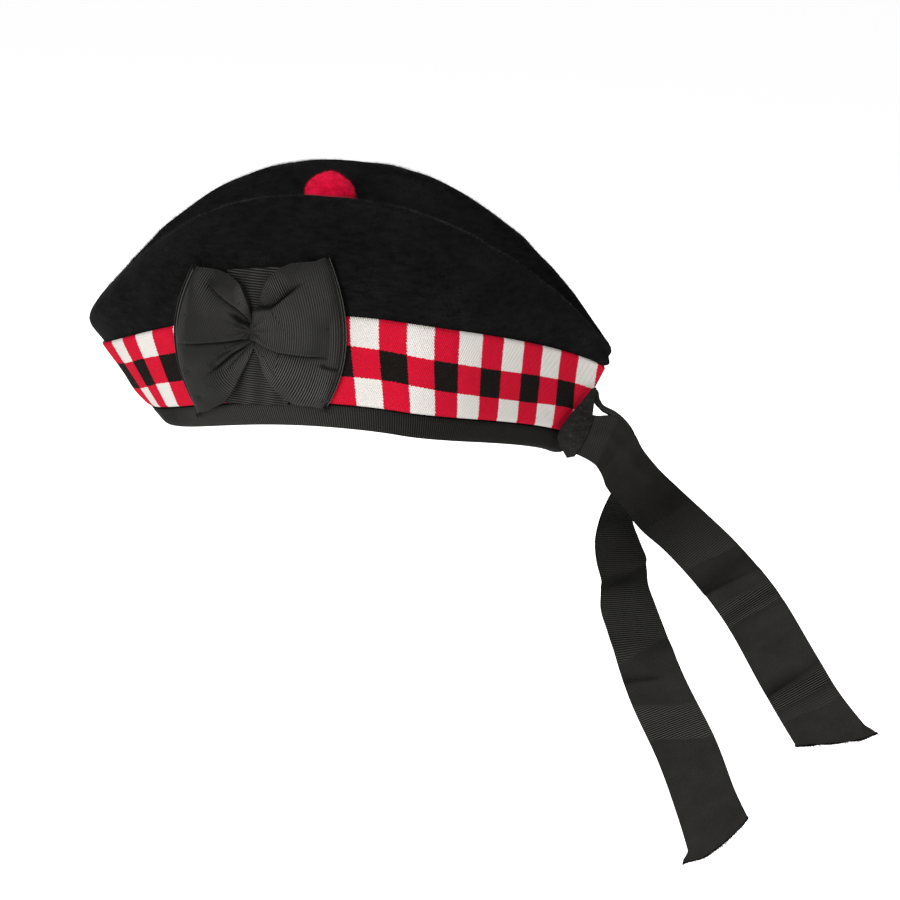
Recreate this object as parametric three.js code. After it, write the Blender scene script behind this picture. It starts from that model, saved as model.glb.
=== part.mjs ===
// Glengarry cap: felt body creased along the top, toorie, diced band, rim binding,
// bow cockade on the wearer's left and two ribbon tails at the back.
// Millimetres. +Z up, -X front, -Y wearer's left; the origin is the middle of the rim opening.
import * as THREE from 'three';
import { mergeVertices } from 'three/addons/utils/BufferGeometryUtils.js';

// ---- driving dimensions -------------------------------------------------------------------
const FELT_WALL = 2.4;          // milled wool body
const BAND_WALL = 1.3;          // woven diced band
const TAPE_WALL = 1.0;          // ribbed tape of the rim binding
const RIBBON_WALL = 0.9;        // ribbed ribbon of the tails and the bow
const TAB_WALL = 1.2;           // wool strip over the back seam
const SEAT_GAP = 0.35;          // clearance between pieces that touch on the real cap
const TOORIE_RADIUS = 13;
const TOORIE_X = -6.4;
const COLUMNS = 26;             // columns along each side of the cap
const BAND_LEVELS = [1.02, 1.26, 1.5, 1.75, 2];
const MATERIALS = {
  black_wool: { color: 0x0b0b0c, roughness: 0.95 },
  diced_wool: { color: 0xb0122c, roughness: 0.9 },
  black_ribbon: { color: 0x17171a, roughness: 0.7 },
  red_wool: { color: 0xc4102e, roughness: 0.95 },
};

// ---- guide lines of the body --------------------------------------------------------------
// One row per line running from the front seam to the back seam along one side (the other side
// is its mirror). front_*/back_* are its ends, width its greatest half width, rise how far its
// middle stands above the straight line between the ends. widest and crest (-1 front, 1 back)
// place the greatest width and height; plump_* and blunt_* shape the two ends of the plan,
// fall_* the two ends of the rise. out_* is the shift of the row for 1 mm of offset outwards.
const GUIDES = [
  { name: 'rim', front_x: -83.5, front_z: 4, back_x: 115.5, back_z: 1.6, width: 77.5, rise: 23.8,
    widest: 0.24, crest: 0, plump_front: 2.9, blunt_front: 0.62, plump_back: 1.8, blunt_back: 1.25,
    fall_front: 2.2, fall_back: 2.2, out_front: 1.1, out_back: 1.5, out_side: 1, out_up: 0 },
  { name: 'band_bottom', front_x: -90.5, front_z: 11, back_x: 119.5, back_z: 10.7, width: 78.5, rise: 27,
    widest: 0.24, crest: 0, plump_front: 2.9, blunt_front: 0.70, plump_back: 1.8, blunt_back: 1.27,
    fall_front: 2.2, fall_back: 2.2, out_front: 1.3, out_back: 1.5, out_side: 1, out_up: 0 },
  { name: 'band_top', front_x: -119.3, front_z: 41.5, back_x: 134.3, back_z: 47, width: 79.5, rise: 36.5,
    widest: 0.24, crest: 0, plump_front: 2.9, blunt_front: 0.72, plump_back: 1.85, blunt_back: 1.3,
    fall_front: 2.2, fall_back: 2.2, out_front: 1.3, out_back: 1.6, out_side: 1, out_up: 0.1 },
  { name: 'shoulder', front_x: -124.4, front_z: 53.5, back_x: 137, back_z: 52, width: 70, rise: 56,
    widest: 0.16, crest: 0, plump_front: 2.8, blunt_front: 0.62, plump_back: 1.9, blunt_back: 1.2,
    fall_front: 2.5, fall_back: 2.03, out_front: 1.0, out_back: 1.4, out_side: 0.85, out_up: 0.5 },
  { name: 'ridge_outside', front_x: -118, front_z: 67, back_x: 138.6, back_z: 56, width: 51, rise: 64,
    widest: 0.08, crest: 0, plump_front: 2.6, blunt_front: 0.52, plump_back: 1.95, blunt_back: 1.05,
    fall_front: 2.5, fall_back: 2.03, out_front: 0.7, out_back: 1.2, out_side: 0.6, out_up: 0.8 },
  { name: 'ridge', front_x: -114, front_z: 70.5, back_x: 137.2, back_z: 57.4, width: 46, rise: 65.6,
    widest: 0.06, crest: 0, plump_front: 2.5, blunt_front: 0.50, plump_back: 1.95, blunt_back: 1.04,
    fall_front: 2.5, fall_back: 2.03, out_front: 0.1, out_back: 0.6, out_side: 0.05, out_up: 1 },
  { name: 'ridge_inside', front_x: -110, front_z: 71, back_x: 134, back_z: 57.6, width: 41, rise: 62.6,
    widest: 0.06, crest: 0, plump_front: 2.4, blunt_front: 0.55, plump_back: 1.95, blunt_back: 1.04,
    fall_front: 2.5, fall_back: 2.03, out_front: -0.2, out_back: 0, out_side: -0.45, out_up: 0.9 },
  { name: 'slope', front_x: -107, front_z: 71, back_x: 131, back_z: 57.6, width: 20, rise: 52.5,
    widest: 0.05, crest: 0, plump_front: 2.2, blunt_front: 0.8, plump_back: 1.95, blunt_back: 1.04,
    fall_front: 2.2, fall_back: 2.0, out_front: -0.3, out_back: -0.3, out_side: -0.4, out_up: 0.95 },
  { name: 'valley', front_x: -105.5, front_z: 70.5, back_x: 129, back_z: 57.4, width: 0, rise: 43.4,
    widest: 0, crest: 0, plump_front: 2, blunt_front: 1, plump_back: 2, blunt_back: 1,
    fall_front: 2.1, fall_back: 2.0, out_front: -0.3, out_back: -0.3, out_side: 0, out_up: 1.05 },
];
const LEVEL = Object.fromEntries(GUIDES.map((row, i) => [row.name, i]));
const FAR_LIFT = 4;             // the far ridge stands this much higher than the near one

// A point of one guide line. u runs -1 (front) to 1 (back); side is -1 near, 1 far.
function guidePoint(row, u, side, out) {
  const front = row.front_x - row.out_front * out;
  const back = row.back_x + row.out_back * out;
  const w = u < row.widest ? (row.widest - u) / (1 + row.widest) : (u - row.widest) / (1 - row.widest);
  const plump = u < row.widest ? row.plump_front : row.plump_back;
  const blunt = u < row.widest ? row.blunt_front : row.blunt_back;
  const breadth = Math.max(0, 1 - Math.min(1, w) ** plump) ** blunt;
  const c = Math.abs(u);
  const fall = u < 0 ? row.fall_front : row.fall_back;
  const half = Math.max(0, row.width + row.out_side * out);
  const lift = side > 0 ? FAR_LIFT * Math.min(1, Math.max(0, LEVEL[row.name] - 2) / 3) : 0;
  return [
    (front + back) / 2 + (back - front) / 2 * u,
    side * half * breadth * (row.width > 0 ? 1 : 0),
    row.front_z + (row.back_z - row.front_z) * (u + 1) / 2 + row.rise * (1 - c ** fall)
      + row.out_up * out + lift * (1 - c ** (u < 0 ? 6 : 2)) * (row.width > 0 ? Math.min(1, row.width / 40) : 0),
  ];
}

// Smooth curve through points, knots spaced by the distance between them.
function throughPoints(points, t) {
  const last = points.length - 1;
  const i = Math.max(0, Math.min(last - 1, Math.floor(t)));
  const f = t - i;
  const p1 = points[i];
  const p2 = points[i + 1];
  const mirror = (a, b) => a.map((v, k) => 2 * v - b[k]);
  const p0 = i > 0 ? points[i - 1] : mirror(p1, p2);
  const p3 = i + 2 <= last ? points[i + 2] : mirror(p2, p1);
  const gap = (a, b) => Math.max(1e-3, Math.hypot(...a.map((v, k) => v - b[k])) ** 0.5);
  const d0 = gap(p0, p1);
  const d1 = gap(p1, p2);
  const d2 = gap(p2, p3);
  return p1.map((v, k) => {
    const m1 = ((p1[k] - p0[k]) / d0 - (p2[k] - p0[k]) / (d0 + d1) + (p2[k] - p1[k]) / d1) * d1;
    const m2 = ((p2[k] - p1[k]) / d1 - (p3[k] - p1[k]) / (d1 + d2) + (p3[k] - p2[k]) / d2) * d1;
    const g = f < 0 ? 0 : f;
    const curve = (2 * g ** 3 - 3 * g ** 2 + 1) * p1[k] + (g ** 3 - 2 * g ** 2 + g) * m1
      + (-2 * g ** 3 + 3 * g ** 2) * p2[k] + (g ** 3 - g ** 2) * m2;
    return f < 0 ? curve + f * m1 : curve;
  });
}

// A point of the body surface moved outwards by out; level runs along the rows of GUIDES.
function bodyPoint(level, u, side, out) {
  return throughPoints(GUIDES.map((row) => guidePoint(row, u, side, out)), level);
}

// Point and outward direction of the near side above the place x, z.
function nearSide(x, z) {
  const rows = GUIDES.slice(0, 6).map((row) => {
    const u = (2 * x - row.front_x - row.back_x) / (row.back_x - row.front_x);
    return guidePoint(row, Math.max(-1, Math.min(1, u)), -1, 0);
  });
  let low = 0;
  let high = 5;
  for (let i = 0; i < 40; i += 1) {
    const middle = (low + high) / 2;
    if (throughPoints(rows, middle)[2] < z) low = middle; else high = middle;
  }
  return throughPoints(rows, low)[1];
}
function aboveSide(x, z, out) {
  const h = 2;
  const gx = (nearSide(x + h, z) - nearSide(x - h, z)) / (2 * h);
  const gz = (nearSide(x, z + h) - nearSide(x, z - h)) / (2 * h);
  const n = new THREE.Vector3(gx, -1, gz).normalize();
  return [x + n.x * out, nearSide(x, z) + n.y * out, z + n.z * out];
}

// ---- builders -----------------------------------------------------------------------------
function solid(name, material, points, faces) {
  const geometry = new THREE.BufferGeometry();
  geometry.setAttribute('position', new THREE.Float32BufferAttribute(points.flat(), 3));
  geometry.setIndex(faces.flat());
  const merged = mergeVertices(geometry, 1e-3);
  const index = merged.index.array;
  const kept = [];
  for (let i = 0; i < index.length; i += 3) {
    const [a, b, c] = [index[i], index[i + 1], index[i + 2]];
    if (a !== b && b !== c && a !== c) kept.push(a, b, c);
  }
  merged.setIndex(kept);
  merged.computeVertexNormals();
  const mesh = new THREE.Mesh(merged, new THREE.MeshStandardMaterial({ metalness: 0, ...MATERIALS[material] }));
  mesh.name = name;
  return mesh;
}

// Faces of a grid of points; wrapRows and wrapColumns close it on itself.
function gridFaces(rows, columns, wrapRows, wrapColumns, flip, start = 0) {
  const faces = [];
  for (let i = 0; i < rows - (wrapRows ? 0 : 1); i += 1) {
    for (let j = 0; j < columns - (wrapColumns ? 0 : 1); j += 1) {
      const a = start + i * columns + j;
      const b = start + i * columns + (j + 1) % columns;
      const c = start + ((i + 1) % rows) * columns + (j + 1) % columns;
      const d = start + ((i + 1) % rows) * columns + j;
      faces.push(...(flip ? [[a, c, b], [a, d, c]] : [[a, b, c], [a, c, d]]));
    }
  }
  return faces;
}

// Stations once round the cap: front, near side, back, far side.
const AROUND = [];
for (let i = 0; i < COLUMNS; i += 1) AROUND.push([-Math.cos(Math.PI * i / COLUMNS), -1]);
for (let i = COLUMNS; i > 0; i -= 1) AROUND.push([-Math.cos(Math.PI * i / COLUMNS), 1]);

// A closed section of [level, out] pairs carried once round the cap.
function aroundBody(name, material, section) {
  const points = section.flatMap(([level, out]) => AROUND.map(([u, side]) => bodyPoint(level, u, side, out)));
  return solid(name, material, points, gridFaces(section.length, AROUND.length, true, true, false));
}

function crown() {
  const levels = [0.16, 0.55, 0.97, ...BAND_LEVELS, 2.35, 2.7, 3, 3.35, 3.7, 4, 4.5, 5, 5.5, 6, 7, 8];
  const points = [];
  for (const level of levels) points.push(...AROUND.map(([u, side]) => bodyPoint(level, u, side, 0)));
  for (const level of levels) points.push(...AROUND.map(([u, side]) => bodyPoint(level, u, side, -FELT_WALL)));
  const n = AROUND.length;
  const faces = gridFaces(levels.length, n, false, true, false);
  faces.push(...gridFaces(levels.length, n, false, true, true, levels.length * n));
  for (let j = 0; j < n; j += 1) {
    const k = (j + 1) % n;
    const under = levels.length * n;
    faces.push([j, under + k, k], [j, under + j, under + k]);
  }
  return solid('crown', 'black_wool', points, faces);
}

function dicedBand() {
  const inside = SEAT_GAP + 0.1;
  const outside = inside + BAND_WALL;
  const levels = BAND_LEVELS;
  return aroundBody('diced_band', 'diced_wool',
    [...levels.map((l) => [l, outside]), ...levels.slice().reverse().map((l) => [l, inside])]);
}

function rimBinding() {
  const outer = [SEAT_GAP, SEAT_GAP + TAPE_WALL];
  const inner = [-FELT_WALL - SEAT_GAP, -FELT_WALL - SEAT_GAP - TAPE_WALL];
  return aroundBody('rim_binding', 'black_ribbon', [
    [0.1, outer[0]], [0.97, outer[0]], [0.97, outer[1]], [0.5, outer[1]], [0, outer[1] - 0.3],
    [-0.03, -FELT_WALL / 2], [0, inner[1] + 0.3], [0.5, inner[1]], [0.97, inner[1]], [0.97, inner[0]],
    [0.1, inner[0]],
  ].reverse());
}

function toorie() {
  const [, , floor] = bodyPoint(LEVEL.valley, 0, -1, 0);
  const profile = [];
  for (let i = 0; i <= 14; i += 1) {
    const a = Math.PI * i / 14;
    profile.push(new THREE.Vector2(i % 14 === 0 ? 0 : TOORIE_RADIUS * Math.sin(a), -TOORIE_RADIUS * Math.cos(a)));
  }
  const ball = new THREE.LatheGeometry(profile, 24);
  ball.rotateX(Math.PI / 2);
  ball.translate(TOORIE_X, 0, floor + TOORIE_RADIUS * 1.15 + SEAT_GAP);
  ball.deleteAttribute('normal');
  ball.deleteAttribute('uv');
  const merged = mergeVertices(ball, 1e-3);
  const points = [];
  for (let i = 0; i < merged.attributes.position.count; i += 1) {
    points.push([merged.attributes.position.getX(i), merged.attributes.position.getY(i), merged.attributes.position.getZ(i)]);
  }
  const faces = [];
  for (let i = 0; i < merged.index.count; i += 3) faces.push([...merged.index.array.slice(i, i + 3)]);
  return solid('toorie', 'red_wool', points, faces);
}

// ---- ribbon tails ---------------------------------------------------------------------------
// One row per fold or bend: the two edges of the ribbon (low or left edge first).
const TAIL_RIGHT = [
  { low_x: 114.6, low_y: -6.8, low_z: 5.8, high_x: 122.6, high_y: -6.6, high_z: 27.5 },
  { low_x: 124.5, low_y: -9.5, low_z: 3.6, high_x: 131.5, high_y: -5.6, high_z: 23.4 },
  { low_x: 130.6, low_y: -12, low_z: 1.2, high_x: 142, high_y: -4, high_z: 23.3 },
  { low_x: 135.9, low_y: -16, low_z: -1.1, high_x: 149.4, high_y: -3, high_z: 17.9 },
  { low_x: 138.6, low_y: -20, low_z: -5.7, high_x: 155.8, high_y: -5, high_z: 9 },
  { low_x: 141.8, low_y: -21, low_z: -11.1, high_x: 161.1, high_y: -6, high_z: 3.5 },
  { low_x: 148.2, low_y: -18, low_z: -19.1, high_x: 166.6, high_y: -5, high_z: -2.7 },
  { low_x: 160, low_y: -11, low_z: -33.5, high_x: 181.1, high_y: 0, high_z: -16.1 },
  { low_x: 172.6, low_y: -7, low_z: -44.3, high_x: 193.9, high_y: 4, high_z: -27.5 },
  { low_x: 186.6, low_y: -10, low_z: -56.9, high_x: 208.4, high_y: 0, high_z: -39 },
  { low_x: 205.4, low_y: -13, low_z: -77.6, high_x: 230.5, high_y: -5, high_z: -60.7 },
  { low_x: 227.8, low_y: -6, low_z: -113.7, high_x: 255, high_y: -1, high_z: -96 },
  { low_x: 239.4, low_y: -10, low_z: -130.2, high_x: 267.8, high_y: -6, high_z: -113.3 },
  { low_x: 248.2, low_y: -11, low_z: -142.6, high_x: 288, high_y: -10, high_z: -135 },
];
const TAIL_LEFT = [
  { low_x: 126.1, low_y: 3.0, low_z: 27.2, high_x: 114.2, high_y: 14.9, high_z: 25.5 },
  { low_x: 135.5, low_y: 5, low_z: 23.6, high_x: 136, high_y: 32, high_z: 20.2 },
  { low_x: 142.7, low_y: 5, low_z: 21.2, high_x: 143.5, high_y: 36, high_z: 17 },
  { low_x: 147.3, low_y: 4, low_z: 18, high_x: 148.2, high_y: 34.5, high_z: 13.3 },
  { low_x: 151.5, low_y: 3, low_z: 12.8, high_x: 153.8, high_y: 33, high_z: 6.2 },
  { low_x: 153, low_y: 2, low_z: 6.4, high_x: 157.5, high_y: 32, high_z: -0.9 },
  { low_x: 149.4, low_y: 1, low_z: -5.7, high_x: 158.4, high_y: 31, high_z: -14.6 },
  { low_x: 144.2, low_y: 0, low_z: -16.4, high_x: 157.6, high_y: 28, high_z: -27.9 },
  { low_x: 139.1, low_y: -3, low_z: -29.6, high_x: 156.1, high_y: 24, high_z: -38.5 },
  { low_x: 137.3, low_y: -4, low_z: -42.2, high_x: 160.1, high_y: 19, high_z: -47.5 },
  { low_x: 138.6, low_y: -5, low_z: -52.5, high_x: 164.9, high_y: 15, high_z: -58 },
  { low_x: 142.5, low_y: -4, low_z: -66, high_x: 166.4, high_y: 15, high_z: -69.4 },
  { low_x: 143.1, low_y: -1, low_z: -80, high_x: 171.2, high_y: 13, high_z: -80.3 },
  { low_x: 148.4, low_y: 1, low_z: -95, high_x: 177.7, high_y: 9, high_z: -93.2 },
  { low_x: 161.1, low_y: -4, low_z: -126.2, high_x: 188.9, high_y: 0, high_z: -113.8 },
  { low_x: 178.8, low_y: -8, low_z: -158.8, high_x: 207.9, high_y: -4, high_z: -145.7 },
  { low_x: 192, low_y: -5, low_z: -190.6, high_x: 220.5, high_y: -1, high_z: -174 },
  { low_x: 201.6, low_y: -3, low_z: -217, high_x: 228.6, high_y: -2, high_z: -188.5 },
];
// The wool strip over the back seam, from the top down.
const BACK_TAB = [
  { low_x: 129.2, low_y: -4.5, low_z: 36.3, high_x: 131.6, high_y: -4.1, high_z: 37.1 },
  { low_x: 122.6, low_y: -10.5, low_z: 27.8, high_x: 130.9, high_y: -7.7, high_z: 29.7 },
  { low_x: 115.5, low_y: -13.5, low_z: 17.2, high_x: 130.2, high_y: -8.5, high_z: 19.6 },
  { low_x: 114.1, low_y: -13.3, low_z: 12.4, high_x: 128.2, high_y: -9.8, high_z: 13.0 },
  { low_x: 116.8, low_y: -11, low_z: 6.3, high_x: 125.7, high_y: -10.7, high_z: 7.4 },
  { low_x: 119.6, low_y: -10, low_z: 1.8, high_x: 123.3, high_y: -10.7, high_z: 2.8 },
];
const RIBBON_STRIPS = 4;

// A strip of cloth between its two edges.
function strip(name, material, rows, wall, finer) {
  const low = rows.map((r) => [r.low_x, r.low_y, r.low_z]);
  const high = rows.map((r) => [r.high_x, r.high_y, r.high_z]);
  const steps = (rows.length - 1) * finer;
  const middle = [];
  for (let i = 0; i <= steps; i += 1) {
    const a = throughPoints(low, i / finer);
    const b = throughPoints(high, i / finer);
    middle.push([a, b]);
  }
  const points = [[], []];
  for (let i = 0; i <= steps; i += 1) {
    const [a, b] = middle[i].map((p) => new THREE.Vector3(...p));
    const before = middle[Math.max(0, i - 1)].map((p) => new THREE.Vector3(...p));
    const after = middle[Math.min(steps, i + 1)].map((p) => new THREE.Vector3(...p));
    for (let j = 0; j <= RIBBON_STRIPS; j += 1) {
      const f = j / RIBBON_STRIPS;
      const along = after[0].clone().lerp(after[1], f).sub(before[0].clone().lerp(before[1], f));
      const face = b.clone().sub(a).cross(along).normalize().multiplyScalar(wall / 2);
      const p = a.clone().lerp(b, f);
      points[0].push(p.clone().add(face).toArray());
      points[1].push(p.clone().sub(face).toArray());
    }
  }
  return sheet(name, material, [...points[0], ...points[1]], steps + 1, RIBBON_STRIPS + 1);
}

// ---- cockade --------------------------------------------------------------------------------
const BOW_X = -31;              // middle of the bow on the near side
const BOW_Z = 70;
const BOW_LEFT = { reach: 37.5, top_corner: 9, bottom_corner: 13 };   // side edges are bowed out
const BOW_RIGHT = { reach: 43.8, top_corner: 10.5, bottom_corner: 9 };
const BACKING = { middle: 2.3, half_width: 16.5, top: 28.6, bottom: -35.5, out: 2.7, wall: 0.7 };
const BOW_OUT = 4.1;            // the back layer lies this far from the body
// across -1 left edge, 0 pinched middle, 1 right edge; top, bottom and puff of the front layer
const BOW_ROWS = [
  { across: -1, top: 25.5, bottom: -44.5, puff: 1.5 },
  { across: -0.78, top: 25.8, bottom: -40.5, puff: 5 },
  { across: -0.55, top: 26, bottom: -37.5, puff: 7 },
  { across: -0.36, top: 25.8, bottom: -34, puff: 6.5 },
  { across: -0.14, top: 19.6, bottom: -23, puff: 4 },
  { across: 0, top: 10.5, bottom: -16.5, puff: 2 },
  { across: 0.1, top: 18, bottom: -19.5, puff: 3.5 },
  { across: 0.22, top: 26.5, bottom: -25, puff: 6 },
  { across: 0.43, top: 29.5, bottom: -32, puff: 8 },
  { across: 0.75, top: 33, bottom: -34.5, puff: 6.5 },
  { across: 1, top: 34.8, bottom: -37.5, puff: 1.5 },
];

// A place on the near side: along to the back, up, and out from the body.
function onSide(along, up, out) {
  const fore = Math.max(0, -along) / 38;
  return aboveSide(BOW_X + along, BOW_Z + up, out + 0.8 * fore);
}

function cockadeBacking() {
  const points = [];
  for (const out of [BACKING.out + BACKING.wall / 2, BACKING.out - BACKING.wall / 2]) {
    for (let i = 0; i <= 8; i += 1) {
      const up = BACKING.bottom + (BACKING.top - BACKING.bottom) * i / 8;
      for (let j = 0; j <= 4; j += 1) points.push(onSide(BACKING.middle + BACKING.half_width * (j / 2 - 1), up, out));
    }
  }
  return sheet('cockade_backing', 'black_ribbon', points, 9, 5);
}

// Closes two grids of the same shape (upper first) into one sheet of cloth.
function sheet(name, material, points, rows, columns) {
  const count = rows * columns;
  const faces = gridFaces(rows, columns, false, false, false);
  faces.push(...gridFaces(rows, columns, false, false, true, count));
  const edge = [];
  for (let j = 0; j < columns - 1; j += 1) edge.push([j, j + 1]);
  for (let i = 0; i < rows - 1; i += 1) edge.push([i * columns + columns - 1, (i + 1) * columns + columns - 1]);
  for (let j = columns - 1; j > 0; j -= 1) edge.push([(rows - 1) * columns + j, (rows - 1) * columns + j - 1]);
  for (let i = rows - 1; i > 0; i -= 1) edge.push([i * columns, (i - 1) * columns]);
  for (const [a, b] of edge) faces.push([a, count + b, b], [a, count + a, count + b]);
  return solid(name, material, points, faces);
}

// The bow is one flattened loop of ribbon, open above and below and pinched in the middle.
function cockadeBow() {
  const heights = 8;
  const half = RIBBON_WALL / 2;
  const rows = [];
  for (let g = 0; g <= heights; g += 1) {
    const up = 1 - 2 * g / heights;
    const front = BOW_ROWS.map((row) => {
      const side = row.across < 0 ? BOW_LEFT : BOW_RIGHT;
      const reach = side.reach - (up > 0 ? side.top_corner : side.bottom_corner) * up * up * Math.abs(row.across);
      const z = up > 0 ? row.top * up : -row.bottom * up;
      return { along: row.across * reach, up: z, out: BOW_OUT + 1.6 + row.puff * (1 - 0.45 * up ** 4), row };
    });
    const outer = front.map((p) => onSide(p.along * 1.006, p.up, p.out + half));
    const inner = front.map((p) => onSide(p.along, p.up, p.out - half));
    const backOuter = front.map((p) => onSide(p.along * 1.006, p.up, BOW_OUT - half)).reverse();
    const backInner = front.map((p) => onSide(p.along * 0.985, p.up, BOW_OUT + half)).reverse();
    inner[0] = onSide(front[0].along * 0.985, front[0].up, front[0].out - half);
    inner[inner.length - 1] = onSide(front.at(-1).along * 0.985, front.at(-1).up, front.at(-1).out - half);
    rows.push([[...outer, ...backOuter], [...inner, ...backInner]]);
  }
  const n = rows[0][0].length;
  const points = [...rows.flatMap((r) => r[0]), ...rows.flatMap((r) => r[1])];
  const under = rows.length * n;
  const faces = gridFaces(rows.length, n, false, true, true);
  faces.push(...gridFaces(rows.length, n, false, true, false, under));
  const last = (rows.length - 1) * n;
  for (let j = 0; j < n; j += 1) {
    const k = (j + 1) % n;
    faces.push([j, k, under + k], [j, under + k, under + j]);
    faces.push([last + k, last + j, under + last + k], [last + j, under + last + j, under + last + k]);
  }
  return solid('cockade_bow', 'black_ribbon', points, faces);
}

const part = new THREE.Group();
part.name = 'glengarry';
part.add(crown(), dicedBand(), rimBinding(), toorie());
part.add(cockadeBacking(), cockadeBow(), strip('back_tab', 'black_wool', BACK_TAB, TAB_WALL, 2));
part.add(strip('tail_right', 'black_ribbon', TAIL_RIGHT, RIBBON_WALL, 3));
part.add(strip('tail_left', 'black_ribbon', TAIL_LEFT, RIBBON_WALL, 3));
export default part;
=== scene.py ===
"""Glengarry cap: creased wool crown, toorie, diced band, bound rim, bow cockade and ribbon tails.

Every piece is a surface worked out with numpy in millimetres on a grid of two parameters and
put into a mesh in metres. +Z is up, -X the front, -Y the wearer's left.
"""
import math

import bmesh
import bpy
import mathutils
import numpy as np
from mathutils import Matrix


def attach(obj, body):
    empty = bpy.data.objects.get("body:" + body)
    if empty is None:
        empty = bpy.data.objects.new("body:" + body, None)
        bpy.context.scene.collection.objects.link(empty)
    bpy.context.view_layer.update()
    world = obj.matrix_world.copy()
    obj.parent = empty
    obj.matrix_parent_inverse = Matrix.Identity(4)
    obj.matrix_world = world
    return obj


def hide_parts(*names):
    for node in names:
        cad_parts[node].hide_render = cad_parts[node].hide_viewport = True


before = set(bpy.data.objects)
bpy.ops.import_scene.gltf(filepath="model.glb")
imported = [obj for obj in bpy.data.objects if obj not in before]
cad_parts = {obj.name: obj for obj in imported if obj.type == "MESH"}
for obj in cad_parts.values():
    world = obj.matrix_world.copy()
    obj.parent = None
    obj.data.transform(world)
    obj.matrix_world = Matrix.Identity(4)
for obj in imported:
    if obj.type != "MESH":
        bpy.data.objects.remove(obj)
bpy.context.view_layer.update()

bl_info = {
    "name": "Glengarry Cap",
    "version": (1, 0, 0),
    "blender": (4, 5, 0),
    "location": "3D View > Sidebar > Glengarry",
    "description": "Builds a glengarry cap with a diced band, a bow cockade and ribbon tails",
    "category": "Add Mesh",
}

MM = 0.001
HEAD_MIDDLE = (5.0, 0.0, 40.0)      # the middle of the head hollow, in mm


# ---- guide lines of the body ----------------------------------------------------------------
# One row per line from the front seam to the back seam along one side, in millimetres. front_*
# and back_* are its ends, width its greatest half width, rise how far its middle stands above
# the straight line between the ends. widest (-1 front, 1 back) places the greatest width;
# plump_* and blunt_* shape the ends of the plan, fall_* the ends of the rise. out_* is the shift
# of the row for 1 mm of offset outwards.
GUIDE_COLUMNS = ("front_x", "front_z", "back_x", "back_z", "width", "rise", "widest",
                 "plump_front", "blunt_front", "plump_back", "blunt_back", "fall_front", "fall_back",
                 "out_front", "out_back", "out_side", "out_up")
GUIDES = {
    "rim": (-83.5, 4, 115.5, 1.6, 77.5, 23.8, 0.24, 2.9, 0.62, 1.8, 1.25, 2.2, 2.2, 1.1, 1.5, 1, 0),
    "band_bottom": (-90.5, 11, 119.5, 10.7, 78.5, 27, 0.24, 2.9, 0.70, 1.8, 1.27, 2.2, 2.2, 1.3, 1.5, 1, 0),
    "band_top": (-116.3, 41.5, 133.1, 47, 79.5, 36.5, 0.24, 2.9, 0.72, 1.85, 1.3, 2.2, 2.2,
                 1.3, 1.6, 1, 0.1),
    "shoulder": (-124.4, 53.5, 137, 52, 70, 56, 0.16, 2.8, 0.62, 1.9, 1.2, 2.5, 2.03, 1.0, 1.4, 0.85, 0.5),
    "ridge_outside": (-118, 67, 138.6, 56, 51, 64, 0.08, 2.6, 0.52, 1.95, 1.05, 2.5, 2.03,
                      0.7, 1.2, 0.6, 0.8),
    "ridge": (-114, 70.5, 137.2, 57.4, 46, 65.6, 0.06, 2.5, 0.50, 1.95, 1.04, 2.5, 2.03, 0.1, 0.6, 0.05, 1),
    "ridge_inside": (-110, 71, 134, 57.6, 41, 62.6, 0.06, 2.4, 0.55, 1.95, 1.04, 2.5, 2.03,
                     -0.2, 0, -0.45, 0.9),
    "slope": (-107, 71, 131, 57.6, 20, 52.5, 0.05, 2.2, 0.8, 1.95, 1.04, 2.2, 2.0, -0.3, -0.3, -0.4, 0.95),
    "valley": (-105.5, 70.5, 129, 57.4, 0, 43.4, 0, 2, 1, 2, 1, 2.1, 2.0, -0.3, -0.3, 0, 1.05),
}
LEVEL = {name: number for number, name in enumerate(GUIDES)}    # levels count these rows
FAR_LIFT = 4.0       # the far ridge stands this much higher than the near one


def guide_rows(u, side, out):
    """Every guide line at the stations u (-1 front to 1 back) on one side (-1 left, 1 right).

    x runs evenly between the ends; the half width is the row's width times
    (1 - distance_from_widest ** plump) ** blunt; z is the straight line between the ends plus
    the rise times (1 - |u| ** fall). Gives an array of rows by stations by x, y, z.
    """
    g = {k: np.array([row[i] for row in GUIDES.values()], float)[:, None]
         for i, k in enumerate(GUIDE_COLUMNS)}
    u = np.asarray(u, float)[None, :]
    side = np.asarray(side, float)[None, :]
    front = g["front_x"] - g["out_front"] * out
    back = g["back_x"] + g["out_back"] * out
    ahead = u < g["widest"]
    away = np.where(ahead, (g["widest"] - u) / (1 + g["widest"]), (u - g["widest"]) / (1 - g["widest"]))
    plump = np.where(ahead, g["plump_front"], g["plump_back"])
    blunt = np.where(ahead, g["blunt_front"], g["blunt_back"])
    breadth = np.clip(1 - np.clip(away, 0, 1) ** plump, 0, None) ** blunt
    middle = np.abs(u)
    fall = np.where(u < 0, g["fall_front"], g["fall_back"])
    half = np.clip(g["width"] + g["out_side"] * out, 0, None) * (g["width"] > 0)
    climb = (np.arange(len(GUIDES))[:, None] - LEVEL["band_top"]) / 3
    far = (side > 0) * FAR_LIFT * np.clip(climb, 0, 1) * np.clip(g["width"] / 40, 0, 1)
    far = far * (1 - middle ** np.where(u < 0, 6, 2))
    x = (front + back) / 2 + (back - front) / 2 * u
    y = side * half * breadth
    z = g["front_z"] + (g["back_z"] - g["front_z"]) * (u + 1) / 2 + g["rise"] * (1 - middle ** fall)
    z = z + g["out_up"] * out + far
    return np.stack(np.broadcast_arrays(x, y, z), -1)


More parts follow.
